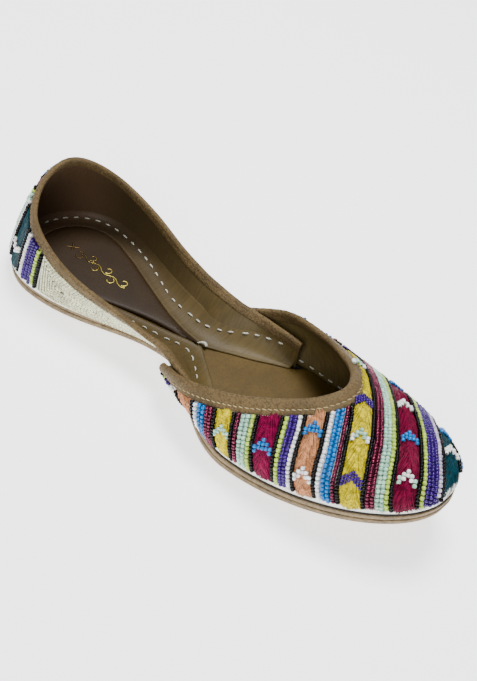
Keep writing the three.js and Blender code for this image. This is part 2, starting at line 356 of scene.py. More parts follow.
def vamp_wall():
    """The vamp, from its outer corner round the toe to its inner corner."""
    sides = [cut(footprint_side(side), VAMP_BACK, HALF_LENGTH) for side in (-1, 1)]
    foot = space(np.vstack([sides[0], sides[1][::-1][1:]]), VAMP_STEPS)
    foot_out = plan_normals(foot, -1)
    corners = []
    for side in (-1, 1):
        column = 1 if side < 0 else 2
        corners.append(np.array([(row[0], side * row[column] + bend(row[0]), row[3]) for row in THROAT]))
    throat = through(np.vstack([corners[0], corners[1][::-1][1:]]), VAMP_STEPS)
    throat_out = plan_normals(throat[:, :2], -1)
    share = np.abs(2 * np.arange(VAMP_STEPS + 1) / VAMP_STEPS - 1)
    lean = np.radians(smooth_table(VAMP_SLOPES, 1)(share))[:, None]
    dip = np.radians(smooth_table(VAMP_SLOPES, 2)(share))[:, None]
    start = np.column_stack([foot, UPPER_BASE + spring(foot[:, 0])])
    reach = np.linalg.norm(throat - start, axis=1)[:, None]
    leaning = np.hstack([foot_out * np.sin(lean), np.cos(lean)])
    dipping = np.hstack([throat_out * np.cos(dip), -np.sin(dip)])
    v = np.linspace(0, 1, VAMP_ROWS + 1)
    grid = bezier(
        start[:, None],
        (start + leaning * reach * LEAN_REACH)[:, None],
        (throat + dipping * reach * DIP_REACH)[:, None],
        throat[:, None],
        v[None, :],
    )
    return Wall(grid, turn=1, face=0.0)


quarter = quarter_wall()
vamp = vamp_wall()


# ======================= Stripes over the vamp =======================

SECTION_CENTRE = 15.0
# How far a stripe sweeps to the toe at a distance across from the middle line.
STRIPE_SWEEP = [
    (-65, -32),
    (-50, -27.2),
    (-30, -18.5),
    (-10, -6.9),
    (10, 7.7),
    (25, 20.3),
    (40, 31.5),
    (60, 43.5),
]


def crossings(field, level):
    """Places (station, row index) where a grid's lines cross a level."""
    above = field > level
    found = []
    i, j = np.nonzero(above[1:] != above[:-1])
    share = (level - field[i, j]) / (field[i + 1, j] - field[i, j])
    found.append(np.stack([i + share, j.astype(float)], axis=1))
    i, j = np.nonzero(above[:, 1:] != above[:, :-1])
    share = (level - field[i, j]) / (field[i, j + 1] - field[i, j])
    found.append(np.stack([i.astype(float), j + share], axis=1))
    return np.vstack(found)


def across_of(wall):
    """Signed distance across the vamp from the middle line, over its skin, at each grid point."""
    x, y, z = np.moveaxis(wall.points, 2, 0)
    angle = np.arctan2(z - SECTION_CENTRE, -(y - bend(x)))
    angle = np.where(angle < -1.2, angle + 2 * math.pi, angle)
    grid_angles = np.linspace(-0.8, math.pi + 0.8, 200)
    places = np.arange(math.ceil(VAMP_BACK + 1), HALF_LENGTH - 0.4, 1.0)
    table = []
    for place in places:
        spots = crossings(x, place)
        station, row = spots[:, 0], spots[:, 1] / (wall.rows - 1)
        point = wall.read(wall.points, station, row)
        turn = np.arctan2(point[:, 2] - SECTION_CENTRE, -(point[:, 1] - bend(place)))
        turn = np.where(turn < -1.2, turn + 2 * math.pi, turn)
        order = np.argsort(turn)
        at = travelled(point[order][:, 1:])
        middle = np.interp(math.pi / 2, turn[order], at)
        table.append(np.interp(grid_angles, turn[order], at) - middle)
    table = np.array(table)
    k = np.clip((x - places[0]) / (places[1] - places[0]), 0, len(places) - 1.001)
    m = (angle - grid_angles[0]) / (grid_angles[1] - grid_angles[0])
    m = np.clip(m, 0, len(grid_angles) - 1.001)
    k0, m0 = k.astype(int), m.astype(int)
    a, b = k - k0, m - m0
    near = table[k0, m0] * (1 - b) + table[k0, m0 + 1] * b
    far = table[k0 + 1, m0] * (1 - b) + table[k0 + 1, m0 + 1] * b
    return near * (1 - a) + far * a


vamp_across = across_of(vamp)
vamp_stripe = vamp.points[..., 0] + np.interp(vamp_across, *np.array(STRIPE_SWEEP, float).T)

VAMP_CLOTH_STRIP = 5.0
QUARTER_CLOTH_STRIP = 2.3
SEAM_CLEAR = -0.4


class Lane:
    """A strip of a wall between two lines: places across it (0 to 1) and along it (a measure in mm)."""

    def __init__(self, wall, stations, rows, measure):
        self.wall = wall
        self.heading = 1 if wall is vamp else -1
        self.stations = stations
        self.rows = rows
        self.measure = measure
        seam = VAMP_BINDING_WIDTH if wall is vamp else QUARTER_BINDING_WIDTH
        height = np.interp(stations, np.arange(wall.stations), wall.height)
        climb = rows * height
        strip = VAMP_CLOTH_STRIP if wall is vamp else QUARTER_CLOTH_STRIP
        self.clear = (climb > strip) & (climb < height - seam - SEAM_CLEAR)
        self.clear &= np.isfinite(rows)

    def spot(self, across, measure):
        """Station and row of places in the lane."""
        lines = len(self.stations) - 1
        a = np.clip(across, 0, 1) * lines
        m = np.interp(measure, self.measure, np.arange(len(self.measure)))
        i = np.minimum(a.astype(int), max(lines - 1, 0))
        j = np.minimum(m.astype(int), len(self.measure) - 2)
        a, m = a - i, m - j
        above = np.minimum(i + 1, lines)
        result = []
        for grid in (self.stations, self.rows):
            low = grid[i, j] * (1 - m) + grid[i, j + 1] * m
            high = grid[above, j] * (1 - m) + grid[above, j + 1] * m
            result.append(low * (1 - a) + high * a)
        return result

    def point(self, across, measure, proud):
        """Points in the lane that stand proud of the skin; off the wall they are not numbers."""
        station, row = self.spot(across, measure)
        known = np.isfinite(row)
        row = np.where(known, row, 0)
        point = np.where(known[..., None], self.wall.at(station, row, proud), np.nan)
        return point, self.wall.normal(station, row)

    def square(self, across, middle, along):
        """Measures, across the lane, that lie `along` mm up the lane from its middle line at a place."""
        heart, _ = self.point(np.array([0.5]), np.array([middle]), 0.0)
        ahead, _ = self.point(np.array([0.5]), np.array([middle + 0.5]), 0.0)
        tangent = unit(ahead - heart)[0]
        trial = middle + np.arange(-16, 16.1, 0.25)
        result = []
        for a, shift in zip(across, along):
            point, _ = self.point(np.full(len(trial), a), trial, 0.0)
            reach = (point - heart) @ tangent
            known = np.isfinite(reach)
            result.append(np.interp(shift, reach[known], trial[known]) if known.sum() > 3 else np.nan)
        return np.array(result)

    def runs(self, line=None):
        """Stretches (first, last sample) where a line of the lane, or all of them, is clear of the edges."""
        clear = self.clear.all(axis=0) if line is None else self.clear[line]
        marks = np.flatnonzero(np.diff(np.concatenate([[0], clear.astype(int), [0]])))
        return [(a, b - 1) for a, b in zip(marks[::2], marks[1::2]) if b - a > 3]


ACROSS_SAMPLES = np.arange(-68, 66, 0.5)


def vamp_lane(start, end, lines):
    """The strip of the vamp between two stripe places."""
    stations, rows = [], []
    for level in np.linspace(start, end, lines):
        spots = crossings(vamp_stripe, level)
        station, row = spots[:, 0], spots[:, 1] / (vamp.rows - 1)
        measure = vamp.read(vamp_across, station, row)
        order = np.argsort(measure)
        measure = measure[order]
        station = np.interp(ACROSS_SAMPLES, measure, station[order])
        row = np.interp(ACROSS_SAMPLES, measure, row[order])
        nearest = np.searchsorted(measure, ACROSS_SAMPLES)
        inside = (nearest > 0) & (nearest < len(measure))
        after = np.clip(nearest, 1, len(measure) - 1)
        inside &= measure[after] - measure[after - 1] < 2.0
        stations.append(station)
        rows.append(np.where(inside, row, np.nan))
    return Lane(vamp, np.array(stations), np.array(rows), ACROSS_SAMPLES)


QUARTER_LEAN = 3.0
back_station = quarter.stations // 2
quarter_run = quarter.run - quarter.run[back_station]


def quarter_lane(start, end, lines, side):
    """The strip of the quarter between two distances round from the back, on one side."""
    rows = np.linspace(0, 1, 90)
    stations = []
    for level in np.linspace(start, end, lines):
        lean = QUARTER_LEAN * (rows - 0.5) * min(1.0, level / 12)
        stations.append(np.interp(side * (level + lean), quarter_run, np.arange(quarter.stations)))
    grid = np.tile(rows, (lines, 1))
    middle = int(np.interp(side * (start + end) / 2, quarter_run, np.arange(quarter.stations)))
    return Lane(quarter, np.array(stations), grid, rows * quarter.height[middle])


# ======================= Finishes =======================

CHART = "chart"


class Value:
    """An output in a finish's nodes. Operators on it add Math nodes."""

    def __init__(self, finish, socket):
        self.finish = finish
        self.socket = socket

    def math(self, operation, *terms):
        return self.finish.node("ShaderNodeMath", {"operation": operation}, dict(enumerate(terms)))

    def __add__(self, other):
        return self.math("ADD", self, other)

    def __sub__(self, other):
        return self.math("SUBTRACT", self, other)

    def __rsub__(self, other):
        return self.math("SUBTRACT", other, self)

    def __mul__(self, other):
        return self.math("MULTIPLY", self, other)

    __radd__ = __add__
    __rmul__ = __mul__

    def sine(self):
        return self.math("SINE", self)

    def between(self, low, high):
        """0 below low, 1 above high and a smooth step between them."""
        return self.finish.node(
            "ShaderNodeMapRange",
            {"interpolation_type": "SMOOTHSTEP"},
            {"Value": self, "From Min": low, "From Max": high},
        )


class Finish:
    """A material: one Principled shader, and the nodes that vary its colour, gloss and relief."""

    def __init__(self, name, colour, roughness, **constants):
        self.material = bpy.data.materials.new(name)
        self.material.use_nodes = True
        self.tree = self.material.node_tree
        self.shader = self.tree.nodes["Principled BSDF"]
        self.feed("Base Color", colour)
        self.feed("Roughness", roughness)
        for socket, value in constants.items():
            self.feed(socket.replace("_", " "), value)

    def join(self, value, socket):
        if isinstance(value, Value):
            self.tree.links.new(value.socket, socket)
        elif isinstance(value, (tuple, list)) and len(value) == 3 and socket.type == "RGBA":
            socket.default_value = (*value, 1)
        else:
            socket.default_value = value

    def node(self, kind, settings=None, inputs=None, output=0):
        """Adds a node: its settings first, then the values or links of its sockets."""
        made = self.tree.nodes.new(kind)
        for key, value in (settings or {}).items():
            setattr(made, key, value)
        for key, value in (inputs or {}).items():
            self.join(value, made.inputs[key])
        return Value(self, made.outputs[output])

    def feed(self, socket, value):
        self.join(value, self.shader.inputs[socket])

    def place(self, stretch=(1, 1, 1)):
        """Where a point of the piece is, in the row frame, with its axes stretched."""
        spot = self.node("ShaderNodeTexCoord", output="Object")
        return self.scaled(spot, stretch)

    def chart(self, stretch=(1, 1, 1)):
        """Distance along and up a piece, from its chart."""
        spot = self.node("ShaderNodeUVMap", {"uv_map": CHART})
        return self.scaled(spot, stretch)

    def scaled(self, spot, stretch):
        return self.node("ShaderNodeVectorMath", {"operation": "MULTIPLY"}, {0: spot, 1: stretch})

    def noise(self, grain, detail, spot=None):
        """Soft noise with grains of a size in millimetres."""
        spot = spot or self.place()
        inputs = {"Vector": spot, "Scale": 1000 / grain, "Detail": detail}
        return self.node("ShaderNodeTexNoise", {}, inputs)

    def cells(self, grain):
        """Distance to the nearest of a scatter of points, for pebbled leather."""
        inputs = {"Vector": self.place(), "Scale": 1000 / grain}
        return self.node("ShaderNodeTexVoronoi", {"feature": "SMOOTH_F1"}, inputs)

    def mix(self, share, low, high):
        settings = {"data_type": "RGBA"}
        return self.node("ShaderNodeMix", settings, {0: share, 6: low, 7: high}, output=2)

    def relief(self, height, depth, strength=1.0):
        """Bumps of a depth in millimetres."""
        inputs = {"Height": height, "Distance": depth / 1000, "Strength": strength}
        self.feed("Normal", self.node("ShaderNodeBump", {}, inputs))


BEAD_ROUGHNESS = 0.16


def shade(colour, by):
    """A colour made darker (by < 1) or lighter."""
    return tuple(min(1.0, c * by) for c in colour)


def leather(name, colour, grain, depth, roughness, crease_shade=0.62, light=1.2):
    """Leather with pebbled grain, cloudy dye, and painted shade darkening the creases between the pebbles.
    """
    skin = Finish(name, colour, roughness)
    skin.feed("Specular IOR Level", 0.18)
    clouds = skin.noise(14, 3)
    pebbles = skin.cells(grain)
    fine = skin.noise(grain * 0.45, 2)
    dye = skin.mix(clouds.between(0.3, 0.7), shade(colour, 0.86), shade(colour, light))
    # Painted shade: the creases between the pebbles are darkened towards a darker copy of the colour.
    painted_crease_shade = (pebbles + fine * 0.5).between(0.45, 1.05)
    skin.feed("Base Color", skin.mix(painted_crease_shade * 0.75, dye, shade(colour, crease_shade)))
    skin.feed("Roughness", fine * 0.25 + (roughness - 0.12))
    skin.relief(1 - pebbles * 0.8 - fine * 0.5, depth)
    return skin


def bead_finish(name, colour, metallic, vary, clear, gleam):
    """Glass beads: each takes its own shade from where it lies."""
    coat = {"Coat_Weight": gleam * 0.7, "Coat_Roughness": 0.05}
    glass = Finish(name, colour, BEAD_ROUGHNESS, Metallic=metallic, **coat)
    glass.feed("Specular IOR Level", gleam)
    glass.feed("Subsurface Weight", clear)
    glass.feed("Subsurface Scale", 0.001)
    lot = glass.noise(1.6, 1)
    cloud = glass.noise(9, 2)
    mixed = (lot * 0.7 + cloud * 0.3).between(0.34, 0.66)
    glass.feed("Base Color", glass.mix(mixed, shade(colour, 1 - vary), shade(colour, 1 + vary)))
    glass.feed("Roughness", lot * 0.12 + BEAD_ROUGHNESS)
    return glass


def satin_finish(name, colour):
    """Floss: painted highlight on its ridges and painted shade between its fine plies, with a soft silk
    gloss.
    """
    floss = Finish(name, colour, 0.42)
    floss.feed("Specular IOR Level", 0.10)
    ply = floss.noise(0.5, 2)
    strand = floss.noise(2.2, 2)
    # Painted highlight and shade: the plies and strands run from 0.42 to 1.35 of the floss colour.
    mixed = (ply * 0.55 + strand * 0.45).between(0.36, 0.64)
    floss.feed("Base Color", floss.mix(mixed, shade(colour, 0.42), shade(colour, 1.35)))
    floss.feed("Roughness", ply * 0.3 + 0.3)
    floss.relief(ply, 0.15)
    return floss


BEAD_COLOURS = {
    "blue": (0.000, 0.130, 0.400),
    "magenta": (0.140, 0.012, 0.040),
    "black": (0.0010, 0.0010, 0.0013),
    "mint": (0.330, 0.570, 0.440),
    "lime": (0.400, 0.550, 0.070),
    "purple": (0.024, 0.000, 0.125),
    "lilac": (0.480, 0.430, 0.560),
    "white": (0.800, 0.810, 0.800),
    "cream": (0.640, 0.640, 0.430),
}
SATIN_COLOURS = {
    "yellow": (0.600, 0.490, 0.000),
    "fuchsia": (0.180, 0.000, 0.038),
    "crimson": (0.145, 0.000, 0.026),
    "peach": (0.500, 0.215, 0.095),
    "teal": (0.000, 0.034, 0.048),
}

beads_of = {}
for name, colour in BEAD_COLOURS.items():
    beads_of[name] = bead_finish(
        name + " seed beads",
        colour,
        metallic=0.75 if name == "magenta" else 0.0,
        vary=0.55 if name == "magenta" else 0.3,
        clear=0.25 if name in ("mint", "white", "lilac") else 0.0,
        gleam=0.14 if name == "black" else 0.3,
    )
floss_of = {name: satin_finish(name + " floss", colour) for name, colour in SATIN_COLOURS.items()}


def cotton_finish():
    """White cotton cloth with a plain weave and an uneven, slubby tone."""
    cotton = Finish("white cotton", (0.80, 0.81, 0.77), 0.85, Sheen_Weight=0.3)
    threads = 2 * math.pi / 0.00055
    warp = cotton.node("ShaderNodeSeparateXYZ", {}, {0: cotton.chart()}, output=0)
    weft = cotton.node("ShaderNodeSeparateXYZ", {}, {0: cotton.chart()}, output=1)
    weave = (warp * threads).sine() * (weft * threads).sine()
    slub = cotton.noise(5, 3)
    cotton.feed("Base Color", cotton.mix(slub.between(0.35, 0.7), (0.86, 0.87, 0.80), (0.72, 0.73, 0.68)))
    cotton.relief(weave * 0.5 + slub, 0.10)
    return cotton


def lining_finish(name, fold_depth):
    """Olive-brown lining leather drawn into fine upright folds round the heel, with painted shade that
    darkens its flanks behind the waist and painted light that gives the back of the heel a lighter brown.
    """
    olive = (0.086, 0.060, 0.019)
    skin = Finish(name, olive, 0.5)
    skin.feed("Specular IOR Level", 0.18)
    heel_to_toe = skin.node("ShaderNodeSeparateXYZ", {}, {0: skin.place()}, output=0)
    along = skin.node("ShaderNodeSeparateXYZ", {}, {0: skin.chart()}, output=0)
    sway = skin.noise(18, 2)
    folds = (along * (2 * math.pi / 0.0016) + sway * 16).sine()
    stretched = skin.noise(1, 2, skin.chart((1, 0.12, 1)))
    grain = skin.noise(0.7, 2)
    cloud = skin.noise(22, 2)
    tone = (cloud * 0.5 + stretched * 0.5).between(0.35, 0.65)
    hide = skin.mix(tone, shade(olive, 0.76), shade(olive, 1.2))
    # Painted shade: dark on the flanks behind the waist, easing to full olive towards the front.
    painted_shade_fade = (heel_to_toe + cloud * 0.02).between(-0.100, 0.045)
    # Painted light: a lighter brown at the back of the heel, against its deep shade.
    back = heel_to_toe.between(-0.124, -0.095)
    flank_with_painted_shade = skin.mix(painted_shade_fade, (0.044, 0.029, 0.013), hide)
    skin.feed("Base Color", skin.mix(back, (0.085, 0.050, 0.027), flank_with_painted_shade))
    skin.feed("Roughness", grain * 0.3 + 0.34)
    skin.relief(folds * fold_depth * (1 - painted_shade_fade) + stretched * 0.3 + grain * 0.3, 0.2)
    return skin


def sole_finish(name, colour):
    """Sole leather: fibrous layers round its cut edge, and a scuffed, smoother face."""
    hide = Finish(name, colour, 0.62)
    layers = hide.noise(0.55, 3, hide.place((0.10, 0.10, 1.0)))
    fibres = hide.noise(1.2, 3, hide.place((1.0, 1.0, 0.35)))
    cloud = hide.noise(16, 3)
    pores = hide.noise(0.6, 2)
    tone = (layers * 0.45 + fibres * 0.3 + cloud * 0.25).between(0.38, 0.62)
    hide.feed("Base Color", hide.mix(tone, shade(colour, 0.58), shade(colour, 1.3)))
    hide.feed("Roughness", pores * 0.3 + 0.45)
    hide.relief(layers * 0.6 + fibres * 0.5 + pores * 0.2, 0.25)
    return hide


cotton = cotton_finish()
quarter_lining = lining_finish("quarter lining leather", 0.08)
vamp_lining = lining_finish("vamp lining leather", 0.0)
sole_hide = sole_finish("sole leather", (0.21, 0.145, 0.072))
binding_hide = leather("binding leather", (0.114, 0.075, 0.030), 0.72, 0.38, 0.55, crease_shade=0.36, light=1.3)
insole_hide = leather("insole leather", (0.078, 0.047, 0.008), 1.1, 0.05, 0.45, crease_shade=0.8)
sock_hide = leather("sock leather", (0.022, 0.011, 0.003), 0.9, 0.05, 0.5, crease_shade=0.8)
# A near-black leather for the sheets of painted shade in the gaps of the sole.
gap_shade_leather = leather("painted gap shade", (0.022, 0.018, 0.014), 0.5, 0.10, 0.7)


def thread_finish(name, colour):
    """Twisted sewing thread."""
    thread = Finish(name, colour, 0.6, Sheen_Weight=0.2)
    twist = thread.noise(0.35, 2)
    thread.feed("Base Color", thread.mix(twist.between(0.35, 0.65), shade(colour, 0.72), shade(colour, 1.1)))
    thread.relief(twist, 0.08)
    return thread


golden_thread = thread_finish("golden sewing thread", (0.46, 0.35, 0.16))
tan_thread = thread_finish("tan sewing thread", (0.20, 0.135, 0.055))
white_thread = thread_finish("white sewing thread", (0.50, 0.49, 0.41))
# Ground threads under the beads are real couching thread, darkened as painted shade between the beads: each
# bead colour at half, and a dark greenish grey under the wedge.
wedge_shaded_ground = thread_finish("wedge ground thread", (0.13, 0.13, 0.07))
shaded_ground_of = {}
for name, colour in BEAD_COLOURS.items():
    shaded_ground_of[name] = thread_finish(name + " ground thread", shade(colour, 0.5))


def foil_finish():
    """Gold foil pressed into the sock, rubbed thin in places and darker towards the back of the heel."""
    foil = Finish("gold foil", (0.62, 0.48, 0.12), 0.35, Metallic=0.8)
    rub = foil.noise(0.9, 3)
    heel_to_toe = foil.node("ShaderNodeSeparateXYZ", {}, {0: foil.place()}, output=0)
    # Besides the rubbed patches, the foil turns darker towards the back of the heel.
    gone = (rub + (heel_to_toe + 0.075) * -14).between(0.45, 0.75)
    foil.feed("Base Color", foil.mix(gone, (0.62, 0.50, 0.10), (0.10, 0.06, 0.02)))
    foil.feed("Roughness", rub * 0.3 + 0.25)
    foil.relief(rub, 0.03)
    return foil


gold = foil_finish()


# ======================= Mesh makers =======================

def make_piece(name, points, quads, finish, chart=None, replaces=()):
    """A mesh piece that rides on the shoe, from points in millimetres and faces of four corners."""
    points = np.asarray(points, float).reshape(-1, 3)
    quads = np.asarray(quads, int).reshape(-1, 4)
    mesh = bpy.data.meshes.new(name)
    mesh.vertices.add(len(points))
    mesh.vertices.foreach_set("co", ((points - BOX_MIDDLE) / 1000).astype(np.float32).ravel())
    mesh.loops.add(quads.size)
    mesh.loops.foreach_set("vertex_index", quads.astype(np.int32).ravel())
    mesh.polygons.add(len(quads))
    mesh.polygons.foreach_set("loop_start", np.arange(0, quads.size, 4, dtype=np.int32))
    if chart is not None:
        layer = mesh.uv_layers.new(name=CHART)
        layer.data.foreach_set("uv", (chart[quads.ravel()] / 1000).astype(np.float32).ravel())
    mesh.update(calc_edges=True)
    mesh.validate()
    mesh.polygons.foreach_set("use_smooth", np.full(len(mesh.polygons), True))
    mesh.materials.append(finish.material)
    piece = bpy.data.objects.new(name, mesh)
    bpy.context.scene.collection.objects.link(piece)
    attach(piece, "root")
    if replaces:
        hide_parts(*replaces)
    return piece


def sweep_faces(stations, size, close_ends=True):
    """Faces of a closed tube through rings of equal size, with both ends capped."""
    i, k = np.meshgrid(np.arange(stations - 1), np.arange(size), indexing="ij")
    following = (k + 1) % size
    faces = [np.stack([
        i * size + k, (i + 1) * size + k, (i + 1) * size + following, i * size + following,
    ], axis=-1).reshape(-1, 4)]
    if close_ends:
        k = np.arange(size // 2 - 1)
        far = size - 1 - k
        last = (stations - 1) * size
        faces.append(np.stack([k, k + 1, far - 1, far], axis=-1))
        faces.append(np.stack([last + far, last + far - 1, last + k + 1, last + k], axis=-1))
    return np.vstack(faces)


def facing_out(rings, faces):
    """Faces turned so that the closed mesh has a positive volume."""
    corners = rings.reshape(-1, 3)[faces]
    first = np.cross(corners[:, 1], corners[:, 2])
    second = np.cross(corners[:, 2], corners[:, 3])
    volume = (corners[:, 0] * (first + second)).sum()
    return faces[:, ::-1] if volume < 0 else faces


def sweep_piece(name, rings, finish, chart=None, replaces=()):
    """A closed piece through rings of points."""
    faces = facing_out(rings, sweep_faces(len(rings), rings.shape[1]))
    flat = None if chart is None else chart.reshape(-1, 2)
    return make_piece(name, rings.reshape(-1, 3), faces, finish, flat, replaces=replaces)


def shell_rings(wall, stations, low, high, rows, outside, inside):
    """Rings of a thin shell on a wall between two heights, and the chart of its points."""
    share = np.linspace(0, 1, rows + 1)[None, :]
    station = np.tile(stations[:, None], (1, rows + 1))
    row = low[:, None] * (1 - share) + high[:, None] * share
    outer = wall.at(station, row, outside)
    inner = wall.at(station, row, inside)
    rings = np.concatenate([outer, inner[:, ::-1]], axis=1)
    height = np.interp(stations, np.arange(wall.stations), wall.height)[:, None]
    run = np.tile(np.interp(stations, np.arange(wall.stations), wall.run)[:, None], (1, rows + 1))
    chart = np.stack([run, row * height], axis=-1)
    return rings, np.concatenate([chart, chart[:, ::-1]], axis=1)


def tube_mesh(paths, ups, width, thick, sides=6, ends=0.05):
    """Tubes along paths (tube, point, xyz), flattened against their ups and tapered at both ends."""
    tubes, steps, _ = paths.shape
    tangent = unit(np.gradient(paths, axis=1))
    side = unit(np.cross(tangent, ups))
    up = np.cross(side, tangent)
    turn = np.arange(sides) * 2 * math.pi / sides
    taper = np.ones(steps)
    taper[0] = ends
    taper[-1] = ends
    wide = np.broadcast_to(np.asarray(width), (tubes,))[:, None, None, None] / 2
    tall = np.broadcast_to(np.asarray(thick), (tubes,))[:, None, None, None] / 2
    across = side[:, :, None] * np.cos(turn)[None, None, :, None] * wide
    above = up[:, :, None] * np.sin(turn)[None, None, :, None] * tall
    ring = paths[:, :, None] + (across + above) * taper[None, :, None, None]
    faces = sweep_faces(steps, sides, close_ends=False)
    index = (np.arange(tubes) * steps * sides)[:, None, None] + faces[None]
    return ring.reshape(-1, 3), index.reshape(-1, 4)


BEAD_PROFILE = np.array([(-0.5, 0.50), (-0.40, 0.80), (-0.16, 1.0), (0.16, 1.0), (0.40, 0.80), (0.5, 0.50)])
BEAD_SIDES = 8


def bead_mesh(centres, axes, ups, lengths, radii):
    """Barrel-shaped seed beads, each with its hole along its axis."""
    count = len(centres)
    axes = unit(axes)
    side = unit(np.cross(axes, ups))
    up = np.cross(side, axes)
    turn = (np.arange(BEAD_SIDES) + 0.5) * 2 * math.pi / BEAD_SIDES
    spoke = side[:, None] * np.cos(turn)[None, :, None] + up[:, None] * np.sin(turn)[None, :, None]
    along = BEAD_PROFILE[:, 0][None, :, None, None] * lengths[:, None, None, None]
    wide = BEAD_PROFILE[:, 1][None, :, None, None] * radii[:, None, None, None]
    ring = centres[:, None, None] + axes[:, None, None] * along + spoke[:, None] * wide
    faces = sweep_faces(len(BEAD_PROFILE), BEAD_SIDES, close_ends=False)
    index = (np.arange(count) * len(BEAD_PROFILE) * BEAD_SIDES)[:, None, None] + faces[None]
    return ring.reshape(-1, 3), index.reshape(-1, 4)


# ======================= Beads and satin, gathered by colour =======================

bead_lots = {name: [] for name in BEAD_COLOURS}
floss_lots = {name: [] for name in SATIN_COLOURS}
BEAD_LENGTHS = {"black": 1.45, "magenta": 1.5, "blue": 1.9, "mint": 1.75, "lime": 1.9,
                "purple": 1.55, "lilac": 1.75, "white": 1.8, "cream": 1.35}
BEAD_RADIUS = 1.04


def string_beads(colour, line, ups, radius=BEAD_RADIUS, length=None, jitter=1.0):
    """A string of beads along a line of points on the skin."""
    length = length or BEAD_LENGTHS[colour]
    at = travelled(line)
    count = int(round(at[-1] / (length * 1.04)))
    if count < 1:
        return
    goals = (np.arange(count) + 0.5) / count * at[-1]
    centre = along_line(line, at, goals)
    up = unit(along_line(ups, at, goals))
    axis = along_line(line, at, goals + 0.3) - along_line(line, at, goals - 0.3)
    axis = unit(axis) + dice.normal(0, 0.05 * jitter, (count, 3))
    radii = np.broadcast_to(radius, (count,)) * dice.uniform(0.94, 1.06, count)
    lengths = np.full(count, at[-1] / count * 0.97) * dice.uniform(0.93, 1.04, count)
    centre = centre + up * (radii * 0.86)[:, None] + dice.normal(0, 0.06 * jitter, (count, 3))
    bead_lots[colour].append((centre, axis, up, lengths, radii))


ground_lots = {}
GROUND_PROUD = 0.07


def ground(colour, lane, finish):
    """Couching threads laid flat on the cloth under a lane, in the finish given: the floss's own, or a bead
    colour darkened as painted shade between the beads.
    """
    lines = len(lane.stations)
    for line in range(lines - 1):
        for first, last in lane.runs(line):
            grid = np.arange(first, last + 1)
            pair = []
            for edge in (line, line + 1):
                row = lane.rows[edge, grid]
                row = np.where(np.isfinite(row), row, lane.rows[line, grid])
                pair.append(lane.wall.at(lane.stations[edge, grid], row, GROUND_PROUD))
            ground_lots.setdefault(colour, (finish, []))[1].append(np.stack(pair, axis=1))


def bead_row(colour, lane, trim=0.0):
    """A row of beads down a lane's one line, in each stretch that is clear."""
    for first, last in lane.runs(0):
        measure = np.linspace(lane.measure[first], lane.measure[last], 3 * (last - first))
        low = dice.uniform(0, 1.4)
        high = dice.uniform(0, 1.4)
        if lane.wall is vamp:
            low *= 1.0 if lane.measure[first] < 0 else 0.3
            high *= 1.0 if lane.measure[last] > 0 else 0.3
        measure = measure[(measure > measure[0] + low + trim) & (measure < measure[-1] - high - trim)]
        if len(measure) < 3:
            continue
        point, up = lane.point(np.zeros(len(measure)), measure, 0.0)
        string_beads(colour, point, up)


FLOSS_STEP = 5.0
FLOSS_REACH = 8.0
FLOSS_COLUMNS = 19
FLOSS_WIDTH = 0.58
FLOSS_THICK = 0.36
# Part of the half lane that a stitch crosses, and how far the ends stray at the foot.
FLOSS_LEAN = 0.62
FLOSS_FRAY = 1.5


def satin_fill(colour, lane):
    """Slanted long and short stitches that meet along a lane's middle, like the barbs of a feather."""
    lines = len(lane.stations) - 1
    for layer, columns in enumerate((FLOSS_COLUMNS, FLOSS_COLUMNS - 1, FLOSS_COLUMNS)):
        for a in np.linspace(-1.0, 1.0, columns):
            line = int(round((a + 1) / 2 * lines))
            for first, last in lane.runs(line):
                start, end = lane.measure[first], lane.measure[last]
                fray = [FLOSS_FRAY if lane.rows[line, k] < 0.4 else 0.0 for k in (first, last)]
                feet = np.arange(start - dice.uniform(0, FLOSS_STEP), end, FLOSS_STEP)
                feet = feet + dice.normal(0, 0.7, len(feet))
                add_stitches(colour, lane, a, feet, start, end, layer, fray)


def add_stitches(colour, lane, a, feet, start, end, layer, fray):
    """One column of stitches of a satin fill; a is -1 to 1 across the lane, where their feet are."""
    climb = lane.heading * FLOSS_REACH * dice.uniform(0.8, 1.15, len(feet))
    inward = np.full(len(feet), min(1.0, abs(a) / FLOSS_LEAN + 0.25))
    if lane.heading < 0:
        feet = start + end - feet
    lowest = start - fray[0] * dice.uniform(0, 1, len(feet))
    highest = end + fray[1] * dice.uniform(0, 1, len(feet))
    low = np.clip(feet, lowest, highest)
    high = np.clip(feet + climb * inward, lowest, highest)
    long_enough = np.abs(high - low) > 1.2
    share = np.linspace(0, 1, 5)[None, :]
    measure = low[:, None] * (1 - share) + high[:, None] * share
    gone = (measure - feet[:, None]) / climb[:, None]
    lean = a - math.copysign(FLOSS_LEAN, a) * gone + dice.normal(0, 0.03, (len(feet), 1))
    lift = 0.22 + 0.16 * layer + 0.24 * np.sin(math.pi * share) + dice.uniform(0, 0.14, (len(feet), 1))
    point, up = lane.point(np.clip((lean + 1) / 2, 0, 1), measure, lift)
    keep = np.isfinite(point).all(axis=(1, 2)) & long_enough
    floss_lots[colour].append((point[keep], up[keep]))


CHEVRON_PROUD = 0.42
CHEVRON_SLOPE = 0.9
CHEVRON_DEEP_SLOPE = 0.6
CHEVRON_SPAN = 4.3
# The lane's half width is measured between these places across it.
CHEVRON_GAUGE = np.array([0.35, 0.65])


